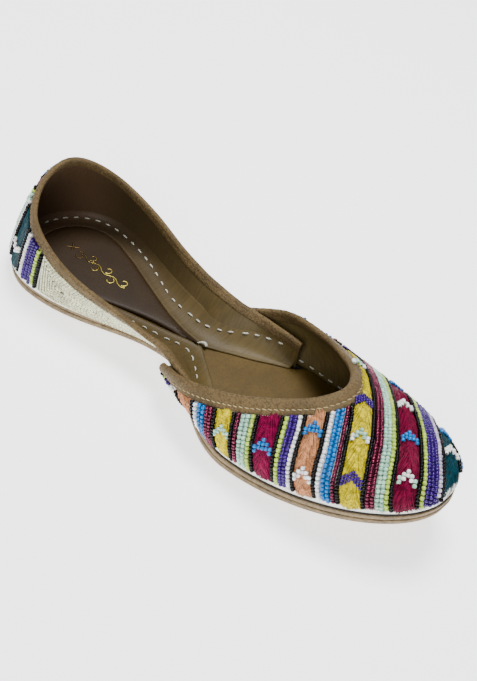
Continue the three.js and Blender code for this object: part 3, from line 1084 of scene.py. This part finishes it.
def chevron(colour, lane, middle, deep=2, radius=1.0, accent=None):
    """A chevron of beads over the satin, with its point ahead, at a place along the lane."""
    pitch = 1.8 * radius
    column_gap = 1.9 * radius
    slope = CHEVRON_SLOPE if deep < 3 else CHEVRON_DEEP_SLOPE
    sides = lane.point(CHEVRON_GAUGE, np.array([middle, middle]), 0.0)[0]
    half_width = np.linalg.norm(sides[1] - sides[0]) / (2 * np.ptp(CHEVRON_GAUGE))
    if not np.isfinite(half_width):
        return
    reach = int(round(min(CHEVRON_SPAN, half_width * 0.86) / column_gap))
    for column in range(-reach, reach + 1):
        a = column * column_gap / half_width
        behind = abs(column) * column_gap * slope
        count = deep + 1 if column == 0 and colour == "blue" else deep
        steps = np.arange(count) * pitch
        across = np.full(count, (a + 1) / 2)
        measure = lane.square(across, middle, lane.heading * (2.2 - behind - steps))
        if not np.isfinite(measure).all():
            continue
        point, up = lane.point(across, measure, CHEVRON_PROUD)
        ahead, _ = lane.point(across, measure + 0.4, CHEVRON_PROUD)
        if not np.isfinite(point).all():
            continue
        chosen = accent if accent and abs(column) == reach else colour
        radii = np.full(count, radius) * dice.uniform(0.95, 1.05, count)
        lengths = np.full(count, pitch * 0.95)
        axis = ahead - point + dice.normal(0, 0.03, point.shape)
        bead_lots[chosen].append((point + up * radius * 0.86, axis, up, lengths, radii))


# ---- The vamp's stripes, back to toe: bead rows as (colour, places), satin as (colour, start, end) ----
VAMP_ROWS_OF_BEADS = [
    ("black", [-32.4]), ("lime", [-30.3]), ("purple", [-28.1, -25.9]), ("white", [-23.6]),
    ("black", [-19.3]), ("black", [-8.4]), ("white", [-6.3]), ("blue", [-4.1, -1.9]),
    ("magenta", [0.3, 2.3]), ("black", [4.3]), ("black", [13.9]), ("magenta", [16.2]),
    ("mint", [18.6, 20.9]), ("lime", [23.2]), ("black", [25.3]), ("black", [36.6]), ("lime", [38.6]),
    ("purple", [40.8, 42.9]), ("white", [45.1]), ("black", [47.2]), ("black", [58.1]),
    ("white", [60.4]), ("blue", [62.9, 65.3]), ("magenta", [67.8]), ("black", [70.2]),
    ("black", [82.4]), ("magenta", [84.7, 86.9]), ("mint", [89.3, 91.5]), ("lime", [93.7]),
    ("black", [95.8]), ("black", [109.0]), ("lime", [111.2]), ("purple", [113.3, 115.4, 117.5]),
    ("lilac", [119.6]), ("black", [121.6]), ("black", [132.6]), ("blue", [134.8]), ("white", [136.8]),
]
# The rows round the toe's tip stop this far short of the cloth strip.
TOE_ROWS = 130
TOE_TRIM = 3.6
# Motifs of a satin stripe: colour, distance across from the middle line, beads deep, radius, accent.
VAMP_SATIN = [
    ("peach", -18.2, -9.6, [("blue", -34, 2, 1.0, None)]),
    ("yellow", 5.4, 12.7, [("mint", -49.6, 2, 0.85, None), ("mint", 52, 2, 0.9, None)]),
    ("fuchsia", 26.4, 35.5, [("blue", -44.4, 2, 1.0, None), ("white", 49, 2, 1.0, None)]),
    ("peach", 48.3, 57.0, [
        ("blue", -25.2, 2, 1.02, None), ("white", -42.8, 2, 1.0, None), ("blue", 46, 2, 1.0, None)]),
    ("yellow", 71.4, 81.3, [
        ("purple", 2.1, 3, 0.80, None), ("mint", -13.3, 2, 1.0, "white"), ("purple", -30.5, 3, 0.80, None),
        ("mint", 24, 2, 1.0, "white"), ("purple", 39, 3, 0.80, None)]),
    ("crimson", 97.0, 107.9, [
        ("white", 20.1, 2, 1.04, None), ("blue", 2.6, 2, 1.04, None), ("white", -14.6, 2, 1.04, "mint"),
        ("blue", 36, 2, 1.0, None)]),
    ("teal", 122.8, 131.4, [("white", 14.2, 2, 1.0, None), ("blue", 25, 2, 1.0, None)]),
]

for colour, places in VAMP_ROWS_OF_BEADS:
    ground(colour, vamp_lane(places[0] - 1.15, places[-1] + 1.15, 2 * len(places) + 1), shaded_ground_of[colour])
    for place in places:
        bead_row(colour, vamp_lane(place, place, 1), TOE_TRIM if place > TOE_ROWS else 0.0)
for colour, start, end, motifs in VAMP_SATIN:
    ground(colour, vamp_lane(start - 0.7, end + 0.7, 11), floss_of[colour])
    lane = vamp_lane(start - 0.1, end + 0.1, 9)
    satin_fill(colour, lane)
    for bead, place, deep, radius, accent in motifs:
        chevron(bead, lane, place, deep, radius, accent)

# ---- The quarter's rows, from the back to the waist on both sides ----
QUARTER_ROWS_OF_BEADS = [
    ("purple", [3.7]), ("lilac", [5.8]), ("blue", [8.2, 10.3]), ("black", [12.3]), ("black", [21.7]),
    ("lime", [23.7]), ("mint", [25.8, 27.9]), ("white", [30.0]), ("black", [32.2]), ("black", [43.4]),
    ("white", [45.5]), ("purple", [47.5, 49.5, 51.5]), ("lime", [53.5]), ("black", [55.5]),
]
QUARTER_SATIN = [
    ("fuchsia", 13.2, 20.8, [("white", 31), ("blue", 14)]),
    ("teal", 33.2, 42.4, [("white", 14)]),
]
for side in (-1, 1):
    for colour, places in QUARTER_ROWS_OF_BEADS:
        ground(colour, quarter_lane(places[0] - 1.05, places[-1] + 1.05, 3, side), shaded_ground_of[colour])
        for place in places:
            bead_row(colour, quarter_lane(place, place, 1, side))
    for colour, start, end, motifs in QUARTER_SATIN:
        lane = quarter_lane(start + 0.2, end - 0.2, 7, side)
        ground(colour, lane, floss_of[colour])
        satin_fill(colour, lane)
        for bead, place in motifs:
            chevron(bead, lane, place, radius=0.95)
back_lane = quarter_lane(-2.6, 2.6, 5, 1)
ground("yellow", back_lane, floss_of["yellow"])
satin_fill("yellow", back_lane)

WEDGE_START = 57.6
WEDGE_PITCH = 1.52
WEDGE_END_X = -4.0
WEDGE_ROWS = 10
WEDGE_BEAD = 0.58
WEDGE_BEAD_LENGTH = 1.5


def cream_row(station, climb):
    """A row of small cream beads on the quarter, at heights up its wall."""
    row = quarter.row_at(station, climb)
    point = quarter.at(station, row, 0.0)
    string_beads("cream", point, quarter.normal(station, row), WEDGE_BEAD, WEDGE_BEAD_LENGTH, jitter=0.3)


def wedge_rows(side):
    """Nested rows of cream beads that follow the wedge's back, top and bottom edges."""
    stations = np.arange(quarter.stations, dtype=float)
    end_x = quarter.points[:, 0, 0]
    run = side * quarter_run
    half = (run >= 0) & (end_x < WEDGE_END_X)
    last = run[half].max()
    for number in range(WEDGE_ROWS):
        inset = 0.7 + WEDGE_PITCH * number
        start = WEDGE_START + inset
        reach = np.arange(start, last, 0.6)
        station = np.interp(side * reach, quarter_run, stations)
        height = np.interp(station, stations, quarter.height)
        top = height - QUARTER_BINDING_WIDTH - SEAM_CLEAR - inset
        low = np.full(len(reach), QUARTER_CLOTH_STRIP + inset)
        open_part = top - low > 0.3
        if open_part.sum() < 4:
            break
        stop = len(reach) if open_part.all() else int(np.argmin(open_part))
        leftover = np.flatnonzero((np.arange(len(reach)) >= stop + 2) & (top - low > -0.8))
        if len(leftover) > 6:
            cream_row(station[leftover], (low + top)[leftover] / 2)
        up_back = np.arange(low[0] + 0.8, top[0] - 0.8, 0.6)
        lines = [
            (station[:stop][::-1], low[:stop][::-1]),
            (np.full(len(up_back), station[0]), up_back),
            (station[:stop], top[:stop]),
        ]
        path_station = np.concatenate([line[0] for line in lines])
        cream_row(path_station, np.concatenate([line[1] for line in lines]))


for side in (-1, 1):
    ground("wedge", quarter_lane(WEDGE_START - 0.4, 124, 26, side), wedge_shaded_ground)
    wedge_rows(side)

for name, lots in bead_lots.items():
    joined = [np.concatenate(part) for part in zip(*lots)]
    points, faces = bead_mesh(*joined)
    make_piece(name + "_beads", points, faces, beads_of[name])
for name, (finish, strips) in ground_lots.items():
    points, faces, base = [], [], 0
    for strip in strips:
        k = np.arange(len(strip) - 1) * 2
        faces.append(base + np.stack([k, k + 2, k + 3, k + 1], axis=1))
        points.append(strip.reshape(-1, 3))
        base += strip.size // 3
    make_piece(name + "_ground_threads", np.vstack(points), np.vstack(faces), finish)
for name, lots in floss_lots.items():
    paths = np.concatenate([lot[0] for lot in lots])
    ups = np.concatenate([lot[1] for lot in lots])
    points, faces = tube_mesh(paths, ups, FLOSS_WIDTH, FLOSS_THICK, sides=4, ends=0.3)
    make_piece(name + "_floss", points, faces, floss_of[name])


# ======================= Cloth, lining and bindings =======================

CLOTH_THICK = 0.95
LINING_CLEAR = 0.1
SEAM_LAP = 1.6
CLOTH_END = 4


def wall_layers(name, wall, binding_width, rows, lining):
    """The cloth on the outer face of a wall and the lining on its inner face."""
    stations = np.arange(wall.stations, dtype=float)
    low = np.zeros(wall.stations)
    high = 1 - (binding_width - SEAM_LAP) / wall.height
    cloth = slice(CLOTH_END, -CLOTH_END)
    rings, chart = shell_rings(wall, stations[cloth], low[cloth], high[cloth], rows, 0.0, -CLOTH_THICK)
    sweep_piece(name + "_cloth", rings, cotton, chart, replaces=[name])
    inner = -CLOTH_THICK - LINING_CLEAR
    rings, chart = shell_rings(wall, stations, low, high, rows, inner, -WALL)
    sweep_piece(name + "_lining", rings, lining, chart)


wall_layers("quarter", quarter, QUARTER_BINDING_WIDTH, 14, quarter_lining)
wall_layers("vamp", vamp, VAMP_BINDING_WIDTH, 24, vamp_lining)

# Sections of the folded bindings: distance down from the top edge, and proud of the wall's outer face.
# The lower edge, a shallow groove for the stitches, the fold and the inner face follow each other.
VAMP_BINDING_SECTION = [
    (6.6, -0.3), (6.6, 0.22), (6.3, 0.46), (5.5, 0.58), (4.8, 0.50), (4.5, 0.38), (4.2, 0.50),
    (3.8, 0.62), (3.0, 0.70), (2.0, 0.66), (1.0, 0.48), (0.35, 0.10), (0.05, -0.5), (0.0, -1.1),
    (0.1, -1.7), (0.5, -2.25), (1.4, -2.55), (3.4, -2.62), (5.6, -2.58), (6.3, -2.45), (6.5, -2.1),
    (6.5, -1.6),
]
QUARTER_BINDING_SECTION = [
    (5.6, -0.3), (5.6, 0.16), (5.35, 0.34), (4.95, 0.40), (4.6, 0.24), (4.35, 0.16), (4.1, 0.28),
    (3.6, 0.48), (3.2, 0.50), (2.95, 0.36), (2.7, 0.50), (2.1, 0.54), (1.75, 0.40), (1.4, 0.46),
    (0.9, 0.32), (0.3, 0.0), (0.05, -0.5), (0.0, -1.0), (0.1, -1.5), (0.35, -1.9), (0.8, -2.0),
    (1.1, -2.3), (1.9, -2.42), (2.3, -2.3), (2.7, -2.42), (4.6, -2.40), (5.2, -2.25), (5.4, -2.0),
    (5.5, -1.8), (5.5, -1.5),
]


def binding_piece(name, wall, section, node):
    """A folded leather binding along a wall's top edge."""
    stations = np.arange(wall.stations, dtype=float)
    down, proud = np.array(section, float).T
    station = np.tile(stations[:, None], (1, len(section)))
    row = 1 - down[None, :] / wall.height[:, None]
    wobble = 0.05 * np.sin(wall.run * 0.9) + 0.05 * np.sin(wall.run * 0.37 + 1)
    rings = wall.at(station, row, proud[None, :] + wobble[:, None] * (proud[None, :] > 0))
    return sweep_piece(name, rings, binding_hide, replaces=[node])


binding_piece("quarter_edge_binding", quarter, QUARTER_BINDING_SECTION, "quarter_binding")
binding_piece("vamp_edge_binding", vamp, VAMP_BINDING_SECTION, "vamp_binding")


def binding_stitches(name, wall, thread, down, proud, first, last, pitch=2.5, length=1.9, width=0.42):
    """Small slanted machine stitches in the binding's groove."""
    top = wall.at(np.arange(wall.stations, dtype=float), np.ones(wall.stations), proud)
    at = travelled(top)
    count = int((at[-1] - first - last) / pitch)
    middles = first + (np.arange(count) + 0.5) * pitch
    share = np.linspace(-0.5, 0.5, 5)
    place = middles[:, None] + share[None, :] * length
    station = np.interp(place, at, np.arange(wall.stations))
    height = np.interp(station, np.arange(wall.stations), wall.height)
    slant = share[None, :] * 0.35
    row = 1 - (down + slant) / height
    lift = proud + 0.10 * (1 - (2 * share[None, :]) ** 2)
    paths = wall.at(station, row, np.broadcast_to(lift, station.shape))
    points, faces = tube_mesh(paths, wall.normal(station, row), width, width * 0.8, ends=0.3)
    make_piece(name, points, faces, thread)


binding_stitches("vamp_binding_stitches", vamp, golden_thread, 4.5, 0.46, 2, 2)
binding_stitches("quarter_binding_stitches", quarter, tan_thread, 4.35, 0.24, 2, 2)


# ======================= Sole, insole and sock =======================

def layer_rings(base, margin, section, start=-HALF_LENGTH, end=HALF_LENGTH, steps=PLATE_STEPS):
    """Rings of a flat layer that follows the footprint and the toe's curl; section is (inset, height)."""
    halves = []
    inset, height = np.array(section, float).T
    for side in (-1, 1):
        line = space(cut(footprint_side(side), start, end), steps)
        out = plan_normals(line, side)
        width = margin(line[:, 0])[:, None] + inset[None, :]
        plan = line[:, None] - out[:, None] * width[..., None]
        level = base + height[None, :] + spring(plan[..., 0])
        halves.append(np.concatenate([plan, level[..., None]], axis=-1))
    rings = np.concatenate([halves[0], halves[1][:, ::-1]], axis=1)
    wide = np.linalg.norm(rings[:, 0] - rings[:, -1], axis=1) > 0.9
    ordered = rings[:, 0, 1] < rings[:, -1, 1]
    return rings[wide & ordered]


def edge_section(thick, ease):
    """Upright edge of a layer with rounded arrises."""
    near = ease * 0.3
    lower = [(ease + 2, 0), (ease, 0), (near, near), (0, ease)]
    upper = [(0, thick - ease), (near, thick - near), (ease, thick), (ease + 2, thick)]
    return [*lower, (0, thick / 2), *upper]


def flat(margin):
    """A margin that is the same all along the footprint."""
    return lambda x: np.full(np.shape(x), float(margin))


outsole_rings = layer_rings(0, flat(-1.2), edge_section(OUTSOLE, 0.55))
sweep_piece("outsole_leather", outsole_rings, sole_hide, replaces=["outsole"])
midsole_rings = layer_rings(MIDSOLE_BASE, flat(-1.0), edge_section(MIDSOLE, 0.5))
sweep_piece("midsole_leather", midsole_rings, sole_hide, replaces=["midsole"])
# Painted shade: dark sheets set back in the gaps between outsole and midsole, and between midsole and upper.
sole_gap_shade_rings = layer_rings(OUTSOLE, flat(-0.45), [(0, 0.02), (0, GAP - 0.02)])
sweep_piece("sole_gap_shade", sole_gap_shade_rings, gap_shade_leather)
WELT_GAP_SHADE_SECTION = [(0.6, 0.02), (0.1, 0.14), (0, 0.55), (0.15, 1.0), (0.6, 1.2)]
welt_gap_shade_rings = layer_rings(MIDSOLE_BASE + MIDSOLE, flat(-0.55), WELT_GAP_SHADE_SECTION)
sweep_piece("welt_gap_shade", welt_gap_shade_rings, gap_shade_leather)
insole_rings = layer_rings(UPPER_BASE, smooth_table(INSOLE_SPREAD), edge_section(INSOLE, 0.3))
sweep_piece("insole_board", insole_rings, insole_hide, replaces=["insole"])

# ---- Heel sock: its edge, and the flange's edge ahead of it ----
sock_margin = smooth_table(SOCK_MARGIN)
SOCK_SECTION = [(0.5, 0), (0.1, 0.3), (0, 0.9), (0.25, 1.45), (0.9, 1.85), (2.2, 2.0), (4.0, 2.12)]
# The sock ends in a point; its edge gives way to the flange's edge ahead of the heel's curve.
POINT_X = -13.0
WAIST_START = -88
SOCK_CLEAR = 0.1
# Edge of the sock and of the turned-in flange from the waist forward, on the inner and outer side: x, y.
INNER_EDGE = [
    (-89.4, 22.6), (-75, 18.9), (-63.6, 14.9), (-48.5, 10), (-37.5, 6.6), (-26.4, 4.6), (-18.5, 4.4),
    (POINT_X, 4.3), (-1.3, 12.3), (8.8, 18.7), (17.5, 25.2), (24, 29.6),
]
OUTER_EDGE = [
    (-89.4, -22.4), (-75, -18.4), (-63.6, -13.9), (-48.5, -8.4), (-37.5, -4.8), (-26.4, -1.2), (-18.5, 1.8),
    (POINT_X, 4.1), (-1.8, -3.6), (8.2, -10.5), (18, -18), (24, -22.8),
]


def waist_edge(side, x):
    """y of the flange's free edge from the waist forward."""
    at, y = np.array(INNER_EDGE if side > 0 else OUTER_EDGE, float).T
    return np.interp(x, at, y)


sock_rings = layer_rings(SOCK_BASE, sock_margin, SOCK_SECTION, end=SOCK_END)
sock_rings = sock_rings[sock_rings[:, :, 0].max(axis=1) < POINT_X]
sock_inset = np.array(SOCK_SECTION)[:, 0]
for ring in sock_rings:
    for k in range(len(SOCK_SECTION)):
        near, far = ring[k], ring[-1 - k]
        if near[0] > WAIST_START:
            near[1] = max(near[1], waist_edge(-1, near[0]) + sock_inset[k] + SOCK_CLEAR)
            far[1] = min(far[1], waist_edge(1, far[0]) - sock_inset[k] - SOCK_CLEAR)
        if far[1] < near[1] + 0.1:
            middle = (near[1] + far[1]) / 2
            near[1], far[1] = middle - 0.05, middle + 0.05
heel_sock = sweep_piece("heel_sock_pad", sock_rings, sock_hide, replaces=["heel_sock"])

# ---- Turned-in flange of the quarter: from the sock's edge up into the foot of the wall ----
FLANGE_THICK = 0.8


def flange_edge(plan, out, side):
    """The flange's free edge beside each point of the footprint's edge."""
    x = plan[:, 0]
    behind = plan - out * (sock_margin(x) + 0.1)[:, None]
    ahead = np.column_stack([x, waist_edge(side, x)])
    share = np.clip((x + 95) / 12, 0, 1)
    share = (share**2 * (3 - 2 * share))[:, None]
    return behind * (1 - share) + ahead * share


flange_edges = np.zeros((quarter.stations, 2))
for side in (-1, 1):
    foot_line = space(cut(footprint_side(side), -HALF_LENGTH, QUARTER_END), QUARTER_STEPS // 2)
    edge = flange_edge(foot_line, plan_normals(foot_line, side), side)
    if side < 0:
        flange_edges[: back_station + 1] = edge[::-1]
    else:
        flange_edges[back_station:] = edge
for _ in range(4):
    flange_edges[1:-1] = (flange_edges[:-2] + 2 * flange_edges[1:-1] + flange_edges[2:]) / 4
FLANGE_CLIMB = smooth_table([(-127.5, 7.5), (-70, 8.0), (-35, 11.5), (24, 12.5)])
FLANGE_FOOT_LEVEL = INSOLE_TOP + 0.35


def flange_point(station, share, lift=0.0):
    """A place on the flange: share 0 is its free edge, 1 is where it meets the wall."""
    index = np.arange(quarter.stations)
    edge = np.stack([np.interp(station, index, flange_edges[:, k]) for k in (0, 1)], axis=-1)
    height = np.interp(station, index, quarter.height)
    climb = FLANGE_CLIMB(edge[..., 0])
    top = quarter.at(station, climb / height, 0.3 - WALL)
    root = quarter.at(station, np.zeros_like(station), -WALL - 0.05)
    beside_sock = np.clip((-6 - edge[..., :1]) / 10, 0, 1)
    low = np.concatenate([edge, FLANGE_FOOT_LEVEL + 0.5 + 0.9 * beside_sock], axis=-1)
    corner = root * 0.82 + low * 0.18
    corner[..., 2] = FLANGE_FOOT_LEVEL - 0.4
    t = share[..., None]
    curve = low * (1 - t) ** 2 + 2 * corner * t * (1 - t) + top * t**2
    slope = unit(2 * (corner - low) * (1 - t) + 2 * (top - corner) * t)
    along = unit(np.gradient(curve, axis=0))
    up = unit(np.cross(slope, along))
    up = up * np.where(up[..., 2:] < 0, -1, 1)
    return curve + up * lift, up


flange_stations = np.linspace(0, quarter.stations - 1, 420)
flange_share = np.linspace(0, 1, 12)
mesh_station = np.tile(flange_stations[:, None], (1, len(flange_share)))
mesh_share = np.tile(flange_share[None, :], (len(flange_stations), 1))
flange_top, flange_up = flange_point(mesh_station, mesh_share)
flange_thin = FLANGE_THICK * (1.04 - flange_share)[None, :, None]
flange_rings = np.concatenate([flange_top, (flange_top - flange_up * flange_thin)[:, ::-1]], axis=1)
flange_run = np.interp(mesh_station, np.arange(quarter.stations), quarter.run)
flange_chart = np.stack([flange_run, mesh_share * 10 - 4], axis=-1)
flange_chart = np.concatenate([flange_chart, flange_chart[:, ::-1]], axis=1)
sweep_piece("turned_in_flange", flange_rings, quarter_lining, flange_chart)


# ---- Running stitches ----
STITCH_WIDTH = 0.85
STITCH_THICK = 0.6
# A place over share 1 lies this many mm up the wall for each 1.
CLIMB_PER_SHARE = 12
KNOT_THICK = 0.8


def hand_thread(name, paths, ups, thick, ends):
    """Stitches of thick white thread along paths."""
    points, faces = tube_mesh(paths, ups, STITCH_WIDTH, thick, sides=8, ends=ends)
    make_piece(name, points, faces, white_thread)


def running_stitches(name, side, line, start, end, pitch=6.4, length=3.2):
    """White running stitches along the flange, on one side."""
    index = np.arange(quarter.stations)
    half = index[back_station:] if side > 0 else index[: back_station + 1][::-1]
    foot = quarter.points[half, 0]
    at = travelled(foot)
    xs, shares = np.array(line, float).T
    first = np.interp(start, foot[:, 0], at)
    last = np.interp(end, foot[:, 0], at)
    middles = np.arange(first, last, pitch)
    middles = middles + dice.normal(0, 0.25, len(middles))
    share = np.linspace(-0.5, 0.5, 6)
    lengths = length * dice.uniform(0.85, 1.1, len(middles))
    place = middles[:, None] + share[None, :] * lengths[:, None]
    station = np.interp(place, at, half)
    x = np.interp(place, at, foot[:, 0])
    level = np.interp(x, xs, shares)
    paths = np.zeros((*station.shape, 3))
    ups = np.zeros_like(paths)
    lift = 0.12 + 0.42 * (1 - (2 * share) ** 2)
    for k in range(station.shape[1]):
        on_flange, up = flange_point(station[:, k], np.minimum(level[:, k], 1), lift[k])
        row = quarter.row_at(station[:, k], FLANGE_CLIMB(x[:, k]) + (level[:, k] - 1) * CLIMB_PER_SHARE)
        on_wall = quarter.at(station[:, k], row, -WALL - 0.2 - lift[k])
        inward = -quarter.normal(station[:, k], row)
        high = (level[:, k] > 1)[:, None]
        paths[:, k] = np.where(high, on_wall, on_flange)
        ups[:, k] = np.where(high, inward, up)
    hand_thread(name, paths, ups, STITCH_THICK, ends=0.25)


# x, and share of the flange where the stitch line lies (over 1: up the wall).
INNER_STITCH_LINE = [
    (-127.5, 0.55), (-66, 0.55), (-46, 0.45), (-26, 0.6), (-20, 0.68), (-13, 0.76), (0, 0.86), (23, 0.95),
]
OUTER_STITCH_LINE = [
    (-127.5, 0.55), (-48, 0.45), (-31, 0.5), (-24, 0.5), (-18, 0.54), (-7, 0.66), (0, 0.72), (23, 0.8),
]
running_stitches("inner_running_stitches", 1, INNER_STITCH_LINE, -127.4, 17)
running_stitches("outer_running_stitches", -1, OUTER_STITCH_LINE, -124, 12)


def vamp_foot_stitches(name, side, start, end, pitch=6.0, length=3.0):
    """White running stitches that hold the foot of the vamp's lining, ahead of the quarter."""
    half = np.arange(vamp.stations)[:: -side]
    half = half[: vamp.stations // 2]
    foot = vamp.points[half, 0]
    at = travelled(foot)
    middles = np.arange(np.interp(start, foot[:, 0], at), np.interp(end, foot[:, 0], at), pitch)
    middles = middles + dice.normal(0, 0.25, len(middles))
    share = np.linspace(-0.5, 0.5, 6)
    station = np.interp(middles[:, None] + share[None, :] * length, at, half)
    row = vamp.row_at(station, 2.6)
    lift = 0.15 + 0.45 * (1 - (2 * share[None, :]) ** 2)
    paths = vamp.at(station, row, -WALL - lift + 0 * station)
    hand_thread(name, paths, -vamp.normal(station, row), STITCH_THICK, ends=0.25)


vamp_foot_stitches("inner_vamp_stitches", 1, 25, 66)
vamp_foot_stitches("outer_vamp_stitches", -1, 27, 66)


def thread_knot():
    """The thick doubled stitch that ends the running stitches, over the sock's point."""
    share = np.linspace(0, 1, 12)
    paths = []
    for shift in (-0.3, 0.35):
        x = -15.2 + 4.4 * share + shift * 0.4
        y = 3.4 + 1.9 * np.sin(share * 2.2) + shift
        z = SOCK_TOP - 0.3 + 1.1 * np.sin(math.pi * share)
        paths.append(np.column_stack([x, y, z]))
    paths = np.array(paths)
    ups = np.tile([0.0, 0.0, 1.0], (*paths.shape[:2], 1))
    hand_thread("thread_knot", paths, ups, KNOT_THICK, ends=0.3)


thread_knot()


# ---- A scrolling vine in gold foil on the sock ----
FOIL_PROUD = 0.19
FOIL_THICK = 0.10
FOIL_STEPS = 60
VINE_START = -98
VINE_END = -64
VINE_WAVES = 3
VINE_CURLS = 6
CURL_PITCH = 5.67
CURL_RADIUS = 2.3
LEAF_LENGTH = 3.0


def foil_flourish():
    """A generic scroll: a wavy stem with paired curls and a spray of leaves, along the sock's middle."""
    middle = bend(-80) + 0.6
    level = np.full(FOIL_STEPS, SOCK_TOP + FOIL_PROUD)
    share = np.linspace(0, 1, FOIL_STEPS)
    stem_x = np.linspace(VINE_START, VINE_END, FOIL_STEPS)
    waves = VINE_WAVES * 2 * math.pi * (stem_x - VINE_START) / (VINE_END - VINE_START)
    paths = [np.column_stack([stem_x, middle + 1.1 * np.sin(waves), level])]
    widths = [0.8]
    for number in range(VINE_CURLS):
        x = -95.2 + number * CURL_PITCH
        side = 1 if number % 2 else -1
        turn = 1.35 * math.pi * share
        reach = CURL_RADIUS * (1 - 0.42 * share)
        curl_x = x + reach * np.sin(turn)
        curl_y = middle + side * CURL_RADIUS - side * reach * np.cos(turn)
        paths.append(np.column_stack([curl_x, curl_y, level]))
        widths.append(0.85)
    for number in range(4):
        turn = number * math.pi / 2 + math.pi / 4
        leaf_x = -101.7 - 0.2 * number + share * LEAF_LENGTH * math.cos(turn)
        leaf_y = middle + share * LEAF_LENGTH * math.sin(turn)
        paths.append(np.column_stack([leaf_x, leaf_y, level]))
        widths.append(1.1)
    paths = np.array(paths)
    ups = np.tile([0.0, 0.0, 1.0], (*paths.shape[:2], 1))
    points, faces = tube_mesh(paths, ups, np.array(widths), FOIL_THICK, sides=4)
    make_piece("gold_flourish", points, faces, gold)


foil_flourish()


# ======================= Floor, light and camera =======================

def stage_floor():
    """A plain pale floor under the shoe."""
    mesh = bpy.data.meshes.new("studio_floor")
    mesh.from_pydata([(-4, -4, 0), (4, -4, 0), (4, 4, 0), (-4, 4, 0)], [], [(0, 1, 2, 3)])
    paper = Finish("pale paper", (0.90, 0.90, 0.90), 0.8, Emission_Strength=1.7)
    paper.feed("Emission Color", (1.0, 1.0, 1.0))
    paper.feed("Roughness", paper.noise(40, 2) * 0.1 + 0.75)
    mesh.materials.append(paper.material)
    floor = bpy.data.objects.new("studio_floor", mesh)
    bpy.context.scene.collection.objects.link(floor)


def softbox(name, place, aim, size, power):
    """A square area light aimed at a point, in metres."""
    light = bpy.data.lights.new(name, "AREA")
    light.size = size
    light.energy = power
    holder = bpy.data.objects.new(name, light)
    bpy.context.scene.collection.objects.link(holder)
    away = np.array(place, float) - np.array(aim, float)
    back = away / np.linalg.norm(away)
    right = np.cross([0, 0, 1] if abs(back[2]) < 0.99 else [0, 1, 0], back)
    right /= np.linalg.norm(right)
    up = np.cross(back, right)
    holder.matrix_world = Matrix([[right[k], up[k], back[k], place[k]] for k in range(3)] + [[0, 0, 0, 1]])


def stage_light():
    """Two soft boxes, and a faint even light from all round."""
    world = bpy.data.worlds.new("studio")
    world.use_nodes = True
    background = world.node_tree.nodes["Background"]
    background.inputs["Color"].default_value = (0.95, 0.97, 1.0, 1)
    background.inputs["Strength"].default_value = 0.25
    bpy.context.scene.world = world
    softbox("key", (-0.15, 0.25, 1.0), (0, 0, 0.02), 0.4, 18)
    softbox("fill", (0.35, -0.85, 0.55), (0, 0, 0.02), 0.6, 9)


def stage_camera():
    """The camera, at the place that shows the shoe as it was seen."""
    lens = bpy.data.cameras.new("camera")
    lens.lens = CAMERA_LENS
    lens.sensor_width = 36
    lens.clip_start = 0.01
    lens.clip_end = 50
    holder = bpy.data.objects.new("camera", lens)
    place = (np.array(CAMERA_PLACE) - BOX_MIDDLE) / 1000
    rows = [[CAMERA_RIGHT[k], CAMERA_UP[k], CAMERA_BACK[k], place[k]] for k in range(3)]
    holder.matrix_world = Matrix(rows + [[0, 0, 0, 1]])
    bpy.context.scene.collection.objects.link(holder)
    bpy.context.scene.camera = holder


stage_floor()
stage_light()
stage_camera()
